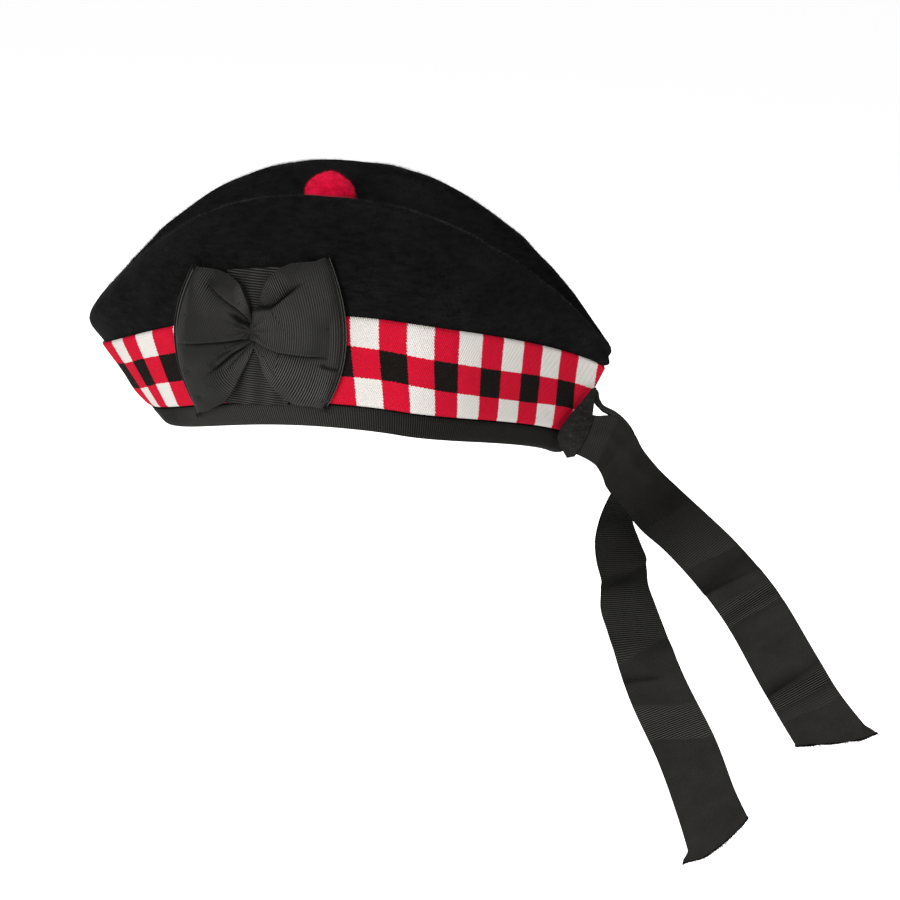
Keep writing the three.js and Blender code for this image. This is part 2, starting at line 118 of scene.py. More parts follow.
def through(points, t):
    """Smooth curve through points[0], points[1] ... at the places t (last axis: stations).

    A Catmull-Rom curve whose knots are spaced by the root of the distance between the points.
    """
    points = np.asarray(points, float)
    last = len(points) - 1
    padded = np.concatenate([2 * points[:1] - points[1:2], points, 2 * points[-1:] - points[-2:-1]])
    t = np.asarray(t, float)
    i = np.clip(np.floor(t), 0, last - 1).astype(int)
    f = (t - i)[..., None]
    n = np.arange(points.shape[1])
    p0, p1, p2, p3 = (padded[i + k, n] for k in range(4))
    d0, d1, d2 = (np.sqrt(np.linalg.norm(b - a, axis=-1, keepdims=True)).clip(1e-3)
                  for a, b in ((p0, p1), (p1, p2), (p2, p3)))
    m1 = ((p1 - p0) / d0 - (p2 - p0) / (d0 + d1) + (p2 - p1) / d1) * d1
    m2 = ((p2 - p1) / d1 - (p3 - p1) / (d1 + d2) + (p3 - p2) / d2) * d1
    g = f.clip(0)
    curve = ((2 * g ** 3 - 3 * g ** 2 + 1) * p1 + (g ** 3 - 2 * g ** 2 + g) * m1
             + (-2 * g ** 3 + 3 * g ** 2) * p2 + (g ** 3 - g ** 2) * m2)
    return curve + f.clip(None, 0) * m1


def body(level, u, side, out=0.0):
    """The body's surface at levels (rows of GUIDES, first axis) by stations, moved outwards by out.

    out may vary over the surface: the shift is straight from the surface 1 mm further out.
    """
    level = np.broadcast_to(np.asarray(level, float)[:, None], (len(level), len(u)))
    flat = through(guide_rows(u, side, 0.0), level)
    proud = through(guide_rows(u, side, 1.0), level)
    return flat + (proud - flat) * np.broadcast_to(out, level.shape)[..., None]


def near_side(x, z):
    """y of the left side above the place x, z, by halving the level until the height is met."""
    shape = np.shape(x)
    x = np.ravel(x).astype(float)
    z = np.ravel(z).astype(float)
    rows = []
    for number, row in enumerate(list(GUIDES.values())[:LEVEL["ridge"] + 1]):
        front, back = row[GUIDE_COLUMNS.index("front_x")], row[GUIDE_COLUMNS.index("back_x")]
        u = np.clip((2 * x - front - back) / (back - front), -1, 1)
        rows.append(guide_rows(u, -np.ones_like(u), 0.0)[number])
    rows = np.stack(rows)
    low = np.zeros_like(x)
    high = np.full_like(x, LEVEL["ridge"])
    for _ in range(30):
        middle = (low + high) / 2
        below = through(rows, middle)[:, 2] < z
        low = np.where(below, middle, low)
        high = np.where(below, high, middle)
    return through(rows, low)[:, 1].reshape(shape)


BOW_X = -31.0        # middle of the bow on the left side
BOW_Z = 70.0
LEFT_PROUD = 0.8     # how much further out the bow stands LEFT_REACH to the front of its middle
LEFT_REACH = 38.0
NORMAL_STEP = 2.0    # the side's slope is taken between places this far to each side


def on_side(along, up, out):
    """A place on the left side: along to the back and up from the bow's middle, out from the body.

    The point is on the side's surface and is moved along its normal by out, and by a little
    more towards the front.
    """
    along, up, out = np.broadcast_arrays(along, up, out)
    x = BOW_X + along
    z = BOW_Z + up
    h = NORMAL_STEP
    gx = (near_side(x + h, z) - near_side(x - h, z)) / (2 * h)
    gz = (near_side(x, z + h) - near_side(x, z - h)) / (2 * h)
    normal = np.stack([gx, -np.ones_like(gx), gz], -1)
    normal /= np.linalg.norm(normal, axis=-1, keepdims=True)
    place = np.stack([x, near_side(x, z), z], -1)
    return place + normal * (out + LEFT_PROUD * np.clip(-along, 0, None) / LEFT_REACH)[..., None]


# ---- meshes ---------------------------------------------------------------------------------
def weld(mesh, join, outward):
    """Makes points closer than join mm one; outward turns a closed shell's faces outwards."""
    work = bmesh.new()
    work.from_mesh(mesh)
    if join:
        bmesh.ops.remove_doubles(work, verts=work.verts, dist=join * MM)
    if outward and work.calc_volume(signed=True) < 0:
        bmesh.ops.reverse_faces(work, faces=work.faces)
    work.to_mesh(mesh)
    work.free()


def mesh_object(name, points, faces, uv=None, values=None, join=0.0, outward=False):
    """A mesh object from points in millimetres and a list of arrays of faces' corners.

    uv (layer's name to places) and values (name to one number each) are given per point; join
    and outward are those of weld.
    """
    mesh = bpy.data.meshes.new(name)
    points = np.asarray(points, float).reshape(-1, 3) * MM
    corners = np.concatenate([f.ravel() for f in faces])
    sizes = np.concatenate([np.full(len(f), f.shape[1]) for f in faces])
    mesh.vertices.add(len(points))
    mesh.vertices.foreach_set("co", points.ravel())
    mesh.loops.add(len(corners))
    mesh.loops.foreach_set("vertex_index", corners)
    mesh.polygons.add(len(sizes))
    mesh.polygons.foreach_set("loop_start", np.concatenate([[0], np.cumsum(sizes)[:-1]]))
    mesh.polygons.foreach_set("use_smooth", np.ones(len(sizes), bool))
    for key, place in (uv or {}).items():
        layer = mesh.uv_layers.new(name=key)
        layer.uv.foreach_set("vector", np.asarray(place, float).reshape(-1, 2)[corners].ravel())
    for key, value in (values or {}).items():
        held = mesh.attributes.new(key, "FLOAT", "POINT")
        held.data.foreach_set("value", np.asarray(value, np.float32).ravel())
    mesh.update(calc_edges=True)
    weld(mesh, join, outward)
    mesh.validate()
    thing = bpy.data.objects.new(name, mesh)
    bpy.context.scene.collection.objects.link(thing)
    return thing


def grid_object(name, points, uv, values=None, join=0.001, outward=True):
    """A grid of points (rows, columns, 3) whose equal edges are joined."""
    rows, columns = points.shape[:2]
    i, j = np.meshgrid(np.arange(rows - 1), np.arange(columns - 1), indexing="ij")
    a = i * columns + j
    quads = np.stack([a, a + 1, a + columns + 1, a + columns], -1).reshape(-1, 4)
    return mesh_object(name, points, [quads], uv, values, join, outward)


def open_sheet(name, points, uv, wall, values=None, turn=True):
    """A grid left open and given its wall, half to each side, with the modifier kept live.

    turn makes its faces look away from the middle of the head hollow.
    """
    thing = grid_object(name, points, uv, values, join=0.0, outward=False)
    if turn:
        face_out(thing)
    solid = thing.modifiers.new("wall", "SOLIDIFY")
    solid.thickness = wall * MM
    solid.offset = 0.0
    solid.use_even_offset = False
    return thing


def face_out(thing):
    """Turns a sheet's faces away from the middle of the head hollow when most look at it."""
    count = len(thing.data.polygons)
    centre, normal = np.empty(count * 3), np.empty(count * 3)
    thing.data.polygons.foreach_get("center", centre)
    thing.data.polygons.foreach_get("normal", normal)
    away = centre.reshape(-1, 3) - np.array(HEAD_MIDDLE) * MM
    if (away * normal.reshape(-1, 3)).sum() < 0:
        thing.data.flip_normals()


def cloth_uv(along, across):
    """The uv layer "cloth" in metres, from lengths along the cloth and across it in mm."""
    return {"cloth": np.stack(np.broadcast_arrays(along, across), -1) * MM}


def lengths(points, axis):
    """Running length along one axis of a grid, from 0, in millimetres."""
    steps = np.linalg.norm(np.diff(points, axis=axis), axis=-1)
    zero = np.zeros_like(np.take(steps, [0], axis=axis))
    return np.cumsum(np.concatenate([zero, steps], axis=axis), axis=axis)


def normals(points):
    """Unit normals of a grid, from the cross product of its two directions."""
    down, across = np.gradient(points, axis=(0, 1))
    n = np.cross(across, down)
    return n / np.linalg.norm(n, axis=-1, keepdims=True).clip(1e-9)


def outward(n, places, middle=HEAD_MIDDLE):
    """Normals turned so that they point away from the middle given."""
    sign = np.sign(((places - np.array(middle)) * n).sum(-1, keepdims=True))
    return n * np.where(sign == 0, 1, sign)


def ease(low, high, value):
    """0 below low, 1 above high, and a smooth S between."""
    t = np.clip((np.asarray(value, float) - low) / (high - low), 0, 1)
    return t * t * (3 - 2 * t)


WAVES = 7            # sine waves in one unevenness


def waves(x, y, seed):
    """Smooth unevenness, mostly -1 to 1: a sum of sine waves with seeded directions and phases."""
    rng = np.random.default_rng(seed)
    total = np.zeros(np.broadcast(x, y).shape)
    for _ in range(WAVES):
        turn, phase, pitch = (rng.uniform(*ends) for ends in ((0, 2 * np.pi), (0, 2 * np.pi), (0.6, 1.7)))
        total = total + np.sin((x * np.cos(turn) + y * np.sin(turn)) * pitch + phase)
    return total / WAVES ** 0.5 / 1.4


def fibres(name, roots, out, length, width, lean, seed):
    """Short loose hairs: each a ribbon of three points that leans over and narrows to its tip.

    The middle and the tip are the root plus the outward direction and a sideways direction
    times growing shares of the hair's length. The foot is sunk a quarter of a millimetre.
    """
    rng = np.random.default_rng(seed)
    count = len(roots)
    side = rng.normal(size=(count, 3))
    side -= out * (side * out).sum(-1, keepdims=True)
    side /= np.linalg.norm(side, axis=-1, keepdims=True).clip(1e-9)
    across = np.cross(out, side) * (width / 2)
    size = (length * rng.uniform(0.45, 1.25, count))[:, None]
    middle = roots + out * size * 0.45 + side * size * lean * 0.25
    tip = roots + out * size * 0.75 + side * size * lean
    foot = roots - out * 0.25
    points = np.stack([foot - across, foot + across, middle - across * 0.8, middle + across * 0.8, tip], 1)
    start = np.arange(count)[:, None] * 5
    quads = start + np.array([[0, 1, 3, 2]])
    triangles = start + np.array([[2, 3, 4]])
    return mesh_object(name, points, [quads, triangles])


def scatter(points, share, count, seed):
    """Random places on a grid, share giving the relative number per cell; also their normals."""
    rng = np.random.default_rng(seed)
    down, across = np.gradient(points, axis=(0, 1))
    area = np.linalg.norm(np.cross(down, across), axis=-1) * share
    weight = area[:-1, :-1].ravel()
    cell = rng.choice(len(weight), count, p=weight / weight.sum())
    i, j = np.divmod(cell, area.shape[1] - 1)
    a, b = rng.uniform(size=(2, count, 1))
    place = ((1 - a) * (1 - b) * points[i, j] + a * (1 - b) * points[i + 1, j]
             + (1 - a) * b * points[i, j + 1] + a * b * points[i + 1, j + 1])
    return place, normals(points)[i, j]


# ---- materials ------------------------------------------------------------------------------
class Net:
    """Adds nodes to one tree: a node is named by its type and its inputs by name or number."""

    def __init__(self, tree):
        self.tree = tree

    def add(self, kind, inputs=None, **settings):
        node = self.tree.nodes.new(kind)
        for key, value in settings.items():
            setattr(node, key, value)
        for key, value in (inputs or {}).items():
            socket = node.inputs[key]
            if isinstance(value, bpy.types.NodeSocket):
                self.tree.links.new(value, socket)
            else:
                socket.default_value = value
        return node

    def math(self, operation, a, b=0.0, c=0.0):
        return self.add("ShaderNodeMath", {0: a, 1: b, 2: c}, operation=operation).outputs[0]

    def mix(self, share, a, b):
        return self.add("ShaderNodeMix", {0: share, 6: a, 7: b}, data_type="RGBA").outputs[2]

    def ramp(self, value, low, high, a=0.0, b=1.0):
        return self.add("ShaderNodeMapRange", {0: value, 1: low, 2: high, 3: a, 4: b}).outputs[0]

    def noise(self, vector, scale, detail, roughness):
        return self.add("ShaderNodeTexNoise", {"Vector": vector, "Scale": scale, "Detail": detail,
                                               "Roughness": roughness}).outputs[0]

    def wave(self, operation, value, pitch):
        """The sine or cosine of the value counted in pitches."""
        pitches = self.math("DIVIDE", value, pitch)
        return self.math(operation, self.math("MULTIPLY", pitches, 2 * math.pi))

    def attribute(self, name):
        return self.add("ShaderNodeAttribute", attribute_name=name).outputs["Fac"]

    def uv(self, name):
        return self.add("ShaderNodeUVMap", uv_map=name).outputs[0]


def node_group(name, inputs, outputs):
    """A shader node group with float, colour or vector sockets; gives the group and its net."""
    group = bpy.data.node_groups.new(name, "ShaderNodeTree")
    kinds = {"f": "NodeSocketFloat", "c": "NodeSocketColor", "v": "NodeSocketVector"}
    for in_out, sockets in (("INPUT", inputs), ("OUTPUT", outputs)):
        for key, kind, default in sockets:
            socket = group.interface.new_socket(name=key, in_out=in_out, socket_type=kinds[kind])
            if default is not None:
                socket.default_value = default
    return group, Net(group), group.nodes.new("NodeGroupInput"), group.nodes.new("NodeGroupOutput")


def felt_group():
    """Milled wool: matted short hairs from two stretched noises, with level patches and flecks.

    Height is the hairs over a broad unevenness; Light goes from a darker to a paler shade.
    """
    group, net, enter, leave = node_group(
        "matted_wool", [("Place", "v", None), ("Hair", "f", 900.0), ("Flecks", "f", 0.2)],
        [("Height", "f", None), ("Light", "f", None)])
    place = enter.outputs["Place"]
    matted = []
    for turn, stretch in (((0.6, 0.9, 0.4), (1.0, 0.28, 0.6)), ((-0.5, 0.2, 1.7), (0.3, 1.0, 0.8))):
        way = net.add("ShaderNodeMapping", {"Vector": place, "Rotation": turn, "Scale": stretch})
        matted.append(net.noise(way.outputs[0], enter.outputs["Hair"], 3.0, 0.6))
    broad = net.noise(place, 55.0, 3.0, 0.55)
    hair = net.math("MAXIMUM", *matted)
    height = net.math("MULTIPLY_ADD", broad, 0.8, hair)
    fleck = net.ramp(hair, 0.66, 0.8)
    level = net.add("ShaderNodeMapping", {"Vector": place, "Scale": (0.55, 0.55, 1.7)})
    patch = net.noise(level.outputs[0], 250.0, 3.0, 0.7)
    cloud = net.math("MULTIPLY_ADD", patch, 1.1, -0.55)
    cloud = net.math("MULTIPLY_ADD", broad, 0.6, cloud)
    light = net.math("MULTIPLY_ADD", fleck, enter.outputs["Flecks"], cloud)
    net.tree.links.new(height, leave.inputs["Height"])
    net.tree.links.new(light, leave.inputs["Light"])
    return group


def rib_group():
    """Ribbed ribbon: rounded cords across the ribbon, crossed by fine warp threads.

    The cloth's u runs along the ribbon and v across it, both in metres. Height is a rounded
    wave along u with a finer wave along v and a fuzz added; Groove is 1 between the cords and
    Cloudy a broad unevenness.
    """
    group, net, enter, leave = node_group(
        "ribbed_ribbon", [("Cloth", "v", None), ("Pitch", "f", 0.00087), ("Thread", "f", 0.00022)],
        [("Height", "f", None), ("Groove", "f", None), ("Cloudy", "f", None)])
    cloth = enter.outputs["Cloth"]
    parts = net.add("ShaderNodeSeparateXYZ", {0: cloth})
    along = net.math("MULTIPLY_ADD", net.noise(cloth, 160.0, 2.0, 0.5), 0.00016, parts.outputs[0])
    cord = net.wave("COSINE", along, enter.outputs["Pitch"])
    thread = net.wave("SINE", parts.outputs[1], enter.outputs["Thread"])
    height = net.math("MULTIPLY_ADD", thread, 0.16, cord)
    height = net.math("MULTIPLY_ADD", net.noise(cloth, 4200.0, 2.0, 0.6), 0.5, height)
    net.tree.links.new(height, leave.inputs["Height"])
    net.tree.links.new(net.ramp(cord, 0.97, 0.05), leave.inputs["Groove"])
    net.tree.links.new(net.noise(cloth, 70.0, 4.0, 0.6), leave.inputs["Cloudy"])
    return group


def dust_group():
    """Faint paler dust gathered in soft patches."""
    group, net, enter, leave = node_group(
        "dust", [("Place", "v", None), ("Amount", "f", 0.2)], [("Dust", "f", None)])
    patches = net.ramp(net.noise(enter.outputs["Place"], 24.0, 4.0, 0.7), 0.42, 0.72)
    grains = net.ramp(net.noise(enter.outputs["Place"], 1300.0, 1.0, 0.5), 0.5, 0.75)
    dust = net.math("MULTIPLY", patches, grains)
    net.tree.links.new(net.math("MULTIPLY", dust, enter.outputs["Amount"]), leave.inputs["Dust"])
    return group


GROUPS = {}
DUST = 0.03          # how much of the dust's colour its patches add


def shared(name):
    """One shared node group, built the first time it is asked for."""
    makers = {"matted_wool": felt_group, "ribbed_ribbon": rib_group, "dust": dust_group}
    if name not in GROUPS:
        GROUPS[name] = makers[name]()
    return GROUPS[name]


def start_material(name, rough, specular, sheen=0.0, sheen_rough=0.5):
    """A new material with its Principled shader; gives the material, its net and the shader."""
    material = bpy.data.materials.new(name)
    material.use_nodes = True
    net = Net(material.node_tree)
    shader = material.node_tree.nodes["Principled BSDF"]
    shader.inputs["Roughness"].default_value = rough
    shader.inputs["Sheen Weight"].default_value = sheen
    shader.inputs["Sheen Roughness"].default_value = sheen_rough
    shader.inputs["Specular IOR Level"].default_value = specular
    return material, net, shader


def use(net, group, inputs):
    """A node for one of the shared groups, with its inputs by name."""
    return net.add("ShaderNodeGroup", inputs, node_tree=shared(group))


def bump(net, shader, height, distance):
    """Raises the shader's surface by height times distance in metres."""
    node = net.add("ShaderNodeBump", {"Height": height, "Distance": distance, "Strength": 1.0})
    net.tree.links.new(node.outputs[0], shader.inputs["Normal"])


def shade(colour, times):
    """The colour with its light multiplied."""
    return (*(min(1.0, c * times) for c in colour[:3]), 1.0)


def wool_material(name, colour, hair=900.0, flecks=0.25, sheen=0.012, depth=0.0004):
    """Felted wool in one colour; hair is the noise scale of its hairs, depth their bump in metres."""
    material, net, shader = start_material(name, 0.97, 0.02, sheen, 0.45)
    place = net.add("ShaderNodeTexCoord").outputs["Object"]
    felt = use(net, "matted_wool", {"Place": place, "Hair": hair, "Flecks": flecks})
    dust = use(net, "dust", {"Place": place, "Amount": DUST})
    tone = net.mix(felt.outputs["Light"], shade(colour, 0.4), shade(colour, 2.4))
    tone = net.mix(dust.outputs["Dust"], tone, (0.25, 0.24, 0.22, 1.0))
    net.tree.links.new(tone, shader.inputs["Base Color"])
    bump(net, shader, felt.outputs["Height"], depth)
    return material


def ribbon_material(name, colour, pitch, depth=0.00012, painted_crest_light=6.0, sheen=0.01, specular=0.12):
    """Ribbed ribbon, with its cords open and deep where the mesh's attribute for open cords says so.

    There the cords' crests are made paler by the given factor, a painted highlight, and the grooves between
    the cords are darkened, painted shade. The mesh's second attribute is painted shade that darkens the
    ribbon.
    """
    material, net, shader = start_material(name, 0.7, specular, sheen, 0.35)
    crisp = net.attribute("crisp")
    cloth = net.uv("cloth")
    rib = use(net, "ribbed_ribbon", {"Cloth": cloth, "Pitch": pitch * MM})
    dust = use(net, "dust", {"Place": cloth, "Amount": DUST})
    tone = net.mix(rib.outputs["Cloudy"], shade(colour, 0.4), shade(colour, 1.2))
    # Painted highlight: the cloth is made paler where the cords stand open.
    tone = net.mix(crisp, tone, shade(colour, painted_crest_light))
    # Painted shade in the grooves between the cords.
    groove = net.math("MULTIPLY", rib.outputs["Groove"], net.ramp(crisp, 0.0, 0.7, 0.05, 1.0))
    tone = net.mix(groove, tone, shade(colour, 0.02))
    # Painted shade from the mesh's attribute: under lips, before creases, at listed spots and along listed
    # stretches.
    tone = net.mix(net.attribute("tuck"), tone, shade(colour, 0.03))
    tone = net.mix(dust.outputs["Dust"], tone, (0.3, 0.29, 0.27, 1.0))
    net.tree.links.new(tone, shader.inputs["Base Color"])
    rough = net.ramp(rib.outputs["Groove"], 0.0, 1.0, 0.55, 0.85)
    net.tree.links.new(rough, shader.inputs["Roughness"])
    height = net.math("MULTIPLY", rib.outputs["Height"], net.ramp(crisp, 0.0, 1.0, 0.15, 1.0))
    bump(net, shader, height, depth)
    return material


# ---- sizes and colours ----------------------------------------------------------------------
def size(name, text, default):
    """A length in metres for the panel."""
    return bpy.props.FloatProperty(name=name, description=text, default=default, unit="LENGTH",
                                   min=0.0, precision=5)


def colour(name, text, default):
    """A dye for the panel."""
    return bpy.props.FloatVectorProperty(name=name, description=text, default=default, size=3,
                                         subtype="COLOR", min=0.0, max=1.0)


class GlengarrySizes(bpy.types.PropertyGroup):
    """Cloth thicknesses and weave pitches."""
    felt_wall: size("Felt wall", "Thickness of the milled wool body", 0.0024)
    band_wall: size("Band wall", "Thickness of the woven diced band", 0.0013)
    tape_wall: size("Tape wall", "Thickness of the rim binding", 0.001)
    ribbon_wall: size("Ribbon wall", "Thickness of the tail and bow ribbon", 0.0007)
    tab_wall: size("Tab wall", "Thickness of the strip over the back seam", 0.0014)
    seat_gap: size("Seat gap", "Clearance between pieces laid on each other", 0.00035)
    rib_pitch: size("Rib pitch", "Distance between the cords of the ribbon", 0.0011)
    bow_pitch: size("Bow rib pitch", "Distance between the cords of the bow's ribbon", 0.00093)
    backing_pitch: size("Backing rib pitch", "Distance between the cords behind the bow", 0.00117)
    tape_pitch: size("Binding rib pitch", "Distance between the cords of the binding", 0.00107)
    wale_pitch: size("Wale pitch", "Distance between the raised lines of the band", 0.00105)
    check_width: size("Check width", "Width of a woven check of the band", 0.0144)
    toorie_radius: size("Toorie radius", "Radius of the felted ball", 0.013)
    nap_length: size("Nap length", "Length of the loose hairs on the wool", 0.0011)


class GlengarryColours(bpy.types.PropertyGroup):
    """Dye colours, as linear light."""
    black_wool: colour("Black wool", "Milled wool of the body", (0.0038, 0.0038, 0.0038))
    black_yarn: colour("Black yarn", "Black checks of the band", (0.0047, 0.0038, 0.0033))
    red_yarn: colour("Red yarn", "Red checks of the band", (0.39, 0.0043, 0.019))
    white_yarn: colour("White yarn", "White checks of the band", (0.49, 0.47, 0.44))
    ribbon: colour("Ribbon", "Ribbed ribbon of bow, tails and binding", (0.0119, 0.0116, 0.0107))
    toorie: colour("Toorie", "Felted ball on top", (0.95, 0.0052, 0.036))
    floor: colour("Floor", "Plain studio floor", (0.94, 0.94, 0.94))


def sizes():
    """The sizes in millimetres by name."""
    held = bpy.context.scene.glengarry_sizes
    return {k: getattr(held, k) / MM for k in GlengarrySizes.__annotations__}


def dye(name):
    """The colour of that name, as linear light."""
    return tuple(getattr(bpy.context.scene.glengarry_colours, name))


def finish_piece(thing, material, replaced=()):
    """Every piece rides on the root body, gets its cloth, and hides the CAD nodes it replaces."""
    thing.data.materials.append(material)
    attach(thing, "root")
    if replaced:
        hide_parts(*replaced)


# ---- round the cap --------------------------------------------------------------------------
def even_stations(count, level):
    """Stations once round the cap, evenly spaced along one level: front, left, back, right.

    The length is measured on a fine set of u = -cos(angle) and turned back by interpolation.
    The last station repeats the first.
    """
    angle = np.linspace(0, np.pi, 2001)
    line = body([level], -np.cos(angle), -np.ones_like(angle))[0]
    run = lengths(line, 0)
    half = count // 2
    even = np.interp(np.linspace(0, run[-1], half + 1), run, angle)
    u = -np.cos(np.concatenate([even, even[::-1][1:]]))
    side = np.concatenate([-np.ones(half + 1), np.ones(half)])
    return u, side


def seam_groove(u, depth, reach):
    """A groove down the front and back seams: depth times a bell over the distance from the ends."""
    return -depth * (np.exp(-((u + 1) / reach) ** 2) + np.exp(-((1 - u) / reach) ** 2))


# Stations round each piece, and the level along which they are evenly spaced.
STATIONS = {"crown": (400, 2.4), "band": (1500, 1.5), "binding": (1100, 0.5)}
# The crown's rows: from level to level, and how many.
CROWN_ROWS = ((0.16, 2, 18), (2, 4, 42), (4, 6, 48), (6, 8, 24))
SPARSE = 4           # the inner side has every fourth row of the outer one
ROUND_ROW = 20       # the row along which lengths round the crown are taken
REAR_BULGE = 2.2     # how far the felt bulges over the band's back end
# Loose hairs: name, number, how many more on the ridge, how many elsewhere, length as a share of
# the nap's, how much paler than the wool (a painted highlight, as of light caught in the fuzz), and seed.
NAP_COLUMNS = ("name", "count", "ridge", "flat", "long", "pale", "seed")
NAPS = (("crown_nap", 15000, 1.5, 1.0, 1.0, 2.8, 11), ("ridge_nap", 16000, 1.0, 0.0, 1.3, 7.0, 13))


class GLENGARRY_OT_crown(bpy.types.Operator):
    """Felt body with its two ridges and the valley between them, its nap and stray lint"""
    bl_idname = "glengarry.crown"
    bl_label = "Crown"

    def execute(self, context):
        s = sizes()
        u, side = even_stations(*STATIONS["crown"])
        level = np.unique(np.concatenate([np.linspace(*rows) for rows in CROWN_ROWS]))
        flat = body(level, u, side)
        across = lengths(flat, 0)
        round_cap = lengths(flat[[ROUND_ROW]], 1) * side
        outer = body(level, u, side, self.proud(level[:, None], u, flat, across, round_cap))
        inner = body(level[::SPARSE], u, side, -s["felt_wall"])
        points = np.concatenate([inner[::-1], outer])
        run = np.concatenate([-across[::SPARSE][::-1], across])
        crown = grid_object("crown_wool", points, cloth_uv(round_cap, run))
        wool = wool_material("black_milled_wool", dye("black_wool"))
        finish_piece(crown, wool, ["crown"])
        self.nap(s, level, outer)
        self.lint(level, outer)
        return {"FINISHED"}

    def proud(self, level, u, flat, across, round_cap):
        """How far the felt's face stands out from the guide lines.

        Above the band: three sums of waves outside the valley, a welt that is a bell over the
        distance from the ridge's level, and the seams' grooves. Over the band's back end: a
        bell over the distance from the hindmost place.
        """
        rough = 0.22 * waves(round_cap / 22, across / 22, 3) + 0.10 * waves(round_cap / 5, across / 5, 4)
        rough += 0.05 * waves(round_cap / 1.5, across / 1.5, 5)
        ridge = np.exp(-((level - LEVEL["ridge"]) / 0.16) ** 2)
        welt = ridge * (0.55 + 0.3 * waves(round_cap / 5, 0 * across, 6))
        groove = seam_groove(u, 0.7, 0.0006) * ease(2.1, 2.6, level) * (level < LEVEL["slope"])
        outside = 1 - ease(7.2, 7.9, level)
        rear = np.exp(-((flat[..., 0].max() - flat[..., 0]) / 15.0) ** 2)
        rear = rear * (ease(2.0, 2.15, level) * (1 - ease(2.3, 3.3, level)))
        above_band = ease(2.02, 2.35, level)
        return above_band * (rough * outside + welt + groove) + REAR_BULGE * rear

    def nap(self, s, level, outer):
        """Loose hairs, in patches and thicker along the ridges, where the felt is bent and rubbed; they are
        coloured paler than the wool, a painted highlight.
        """
        shown = outer[level > LEVEL["band_top"]]
        rows = level[level > LEVEL["band_top"]][:, None]
        for row in NAPS:
            n = dict(zip(NAP_COLUMNS, row))
            patchy = 1 + 0.8 * waves(shown[..., 0] / 6, shown[..., 1] / 6, n["seed"] + 2)
            wide = np.where(shown[..., 1] > 0, 0.5, 0.2)
            bell = np.exp(-((rows - LEVEL["ridge"]) / wide) ** 2)
            share = n["flat"] + n["ridge"] * bell * patchy.clip(0.1)
            roots, out = scatter(shown, share, n["count"], n["seed"])
            long = s["nap_length"] * n["long"]
            hairs = fibres(n["name"], roots, outward(out, roots), long, 0.06, 0.75, n["seed"] + 1)
            # Painted highlight: the hairs are made paler than the wool.
            wool = wool_material(n["name"], shade(dye("black_wool"), n["pale"]), flecks=0.6)
            finish_piece(hairs, wool)

    def lint(self, level, outer):
        """A few pale hairs caught in the wool."""
        material, _, shader = start_material("pale_lint", 0.8, 0.2, sheen=0.2)
        shader.inputs["Base Color"].default_value = (0.07, 0.068, 0.065, 1.0)
        shown = outer[(level > 2.3) & (level < 4.6)]
        roots, out = scatter(shown, np.ones(shown.shape[:2]), 60, 21)
        out = outward(out, roots)
        flecks = fibres("crown_lint", roots + out * 0.3, out * 0.12, 1.7, 0.11, 0.8, 22)
        finish_piece(flecks, material)


# ---- band and binding -----------------------------------------------------------------------
CHECK_WIDTH = 14.4   # the width of a check that the lengths below are for
# How the woven columns lie along the eased band: at each column, the length in mm from the
# front seam along the lower and along the upper edge.
CHECK_COLUMNS = (
    ("column", "foot", "top"),
    (-1, -8.0, -8.0), (0, 3.0, 3.6), (1, 18.2, 24.4), (2, 27.6, 37.6), (3, 37.8, 50.7), (4, 49.3, 64.6),
    (5, 63.6, 79.6), (8, 107.6, 125.6), (11, 151.9, 171.9), (13, 177.2, 198.6), (15, 202.0, 224.9),
    (17, 229.6, 252.1), (19, 260.8, 280.5), (21, 291.0, 309.9), (23, 320.0, 340.5),
)
# How high the two lines between the rows lie at a column, as shares of the band's height.
CHECK_ROWS = (
    ("column", "lower", "upper"),
    (0, 0.27, 0.66), (1.5, 0.285, 0.67), (3, 0.33, 0.69), (11, 0.335, 0.695), (12.5, 0.333, 0.667),
    (14.5, 0.29, 0.635), (16.5, 0.273, 0.61), (18.5, 0.267, 0.61), (20.5, 0.29, 0.614), (23, 0.30, 0.62),
)
# How each way's edges step: which of the checks' axes, the cloth's axis the steps follow, their
# pitch in mm, and how far teeth and loose threads move an edge, in checks.
CHECK_EDGES = ((0, 1, 1.55, 0.04, 0.07), (1, 0, 2.1, 0.02, 0.06))
PICK_PITCH = 0.72    # distance between the band's weft threads, in mm
BAND_ROWS = (1.02, 2.0, 21)      # its face: from level to level, and how many rows
BAND_INSIDE = [-1, 14, 7, 0]     # the rows that its inner side keeps, from the top down
BAND_SEAT = 0.1      # how much further than the seat gap the band stands off the felt


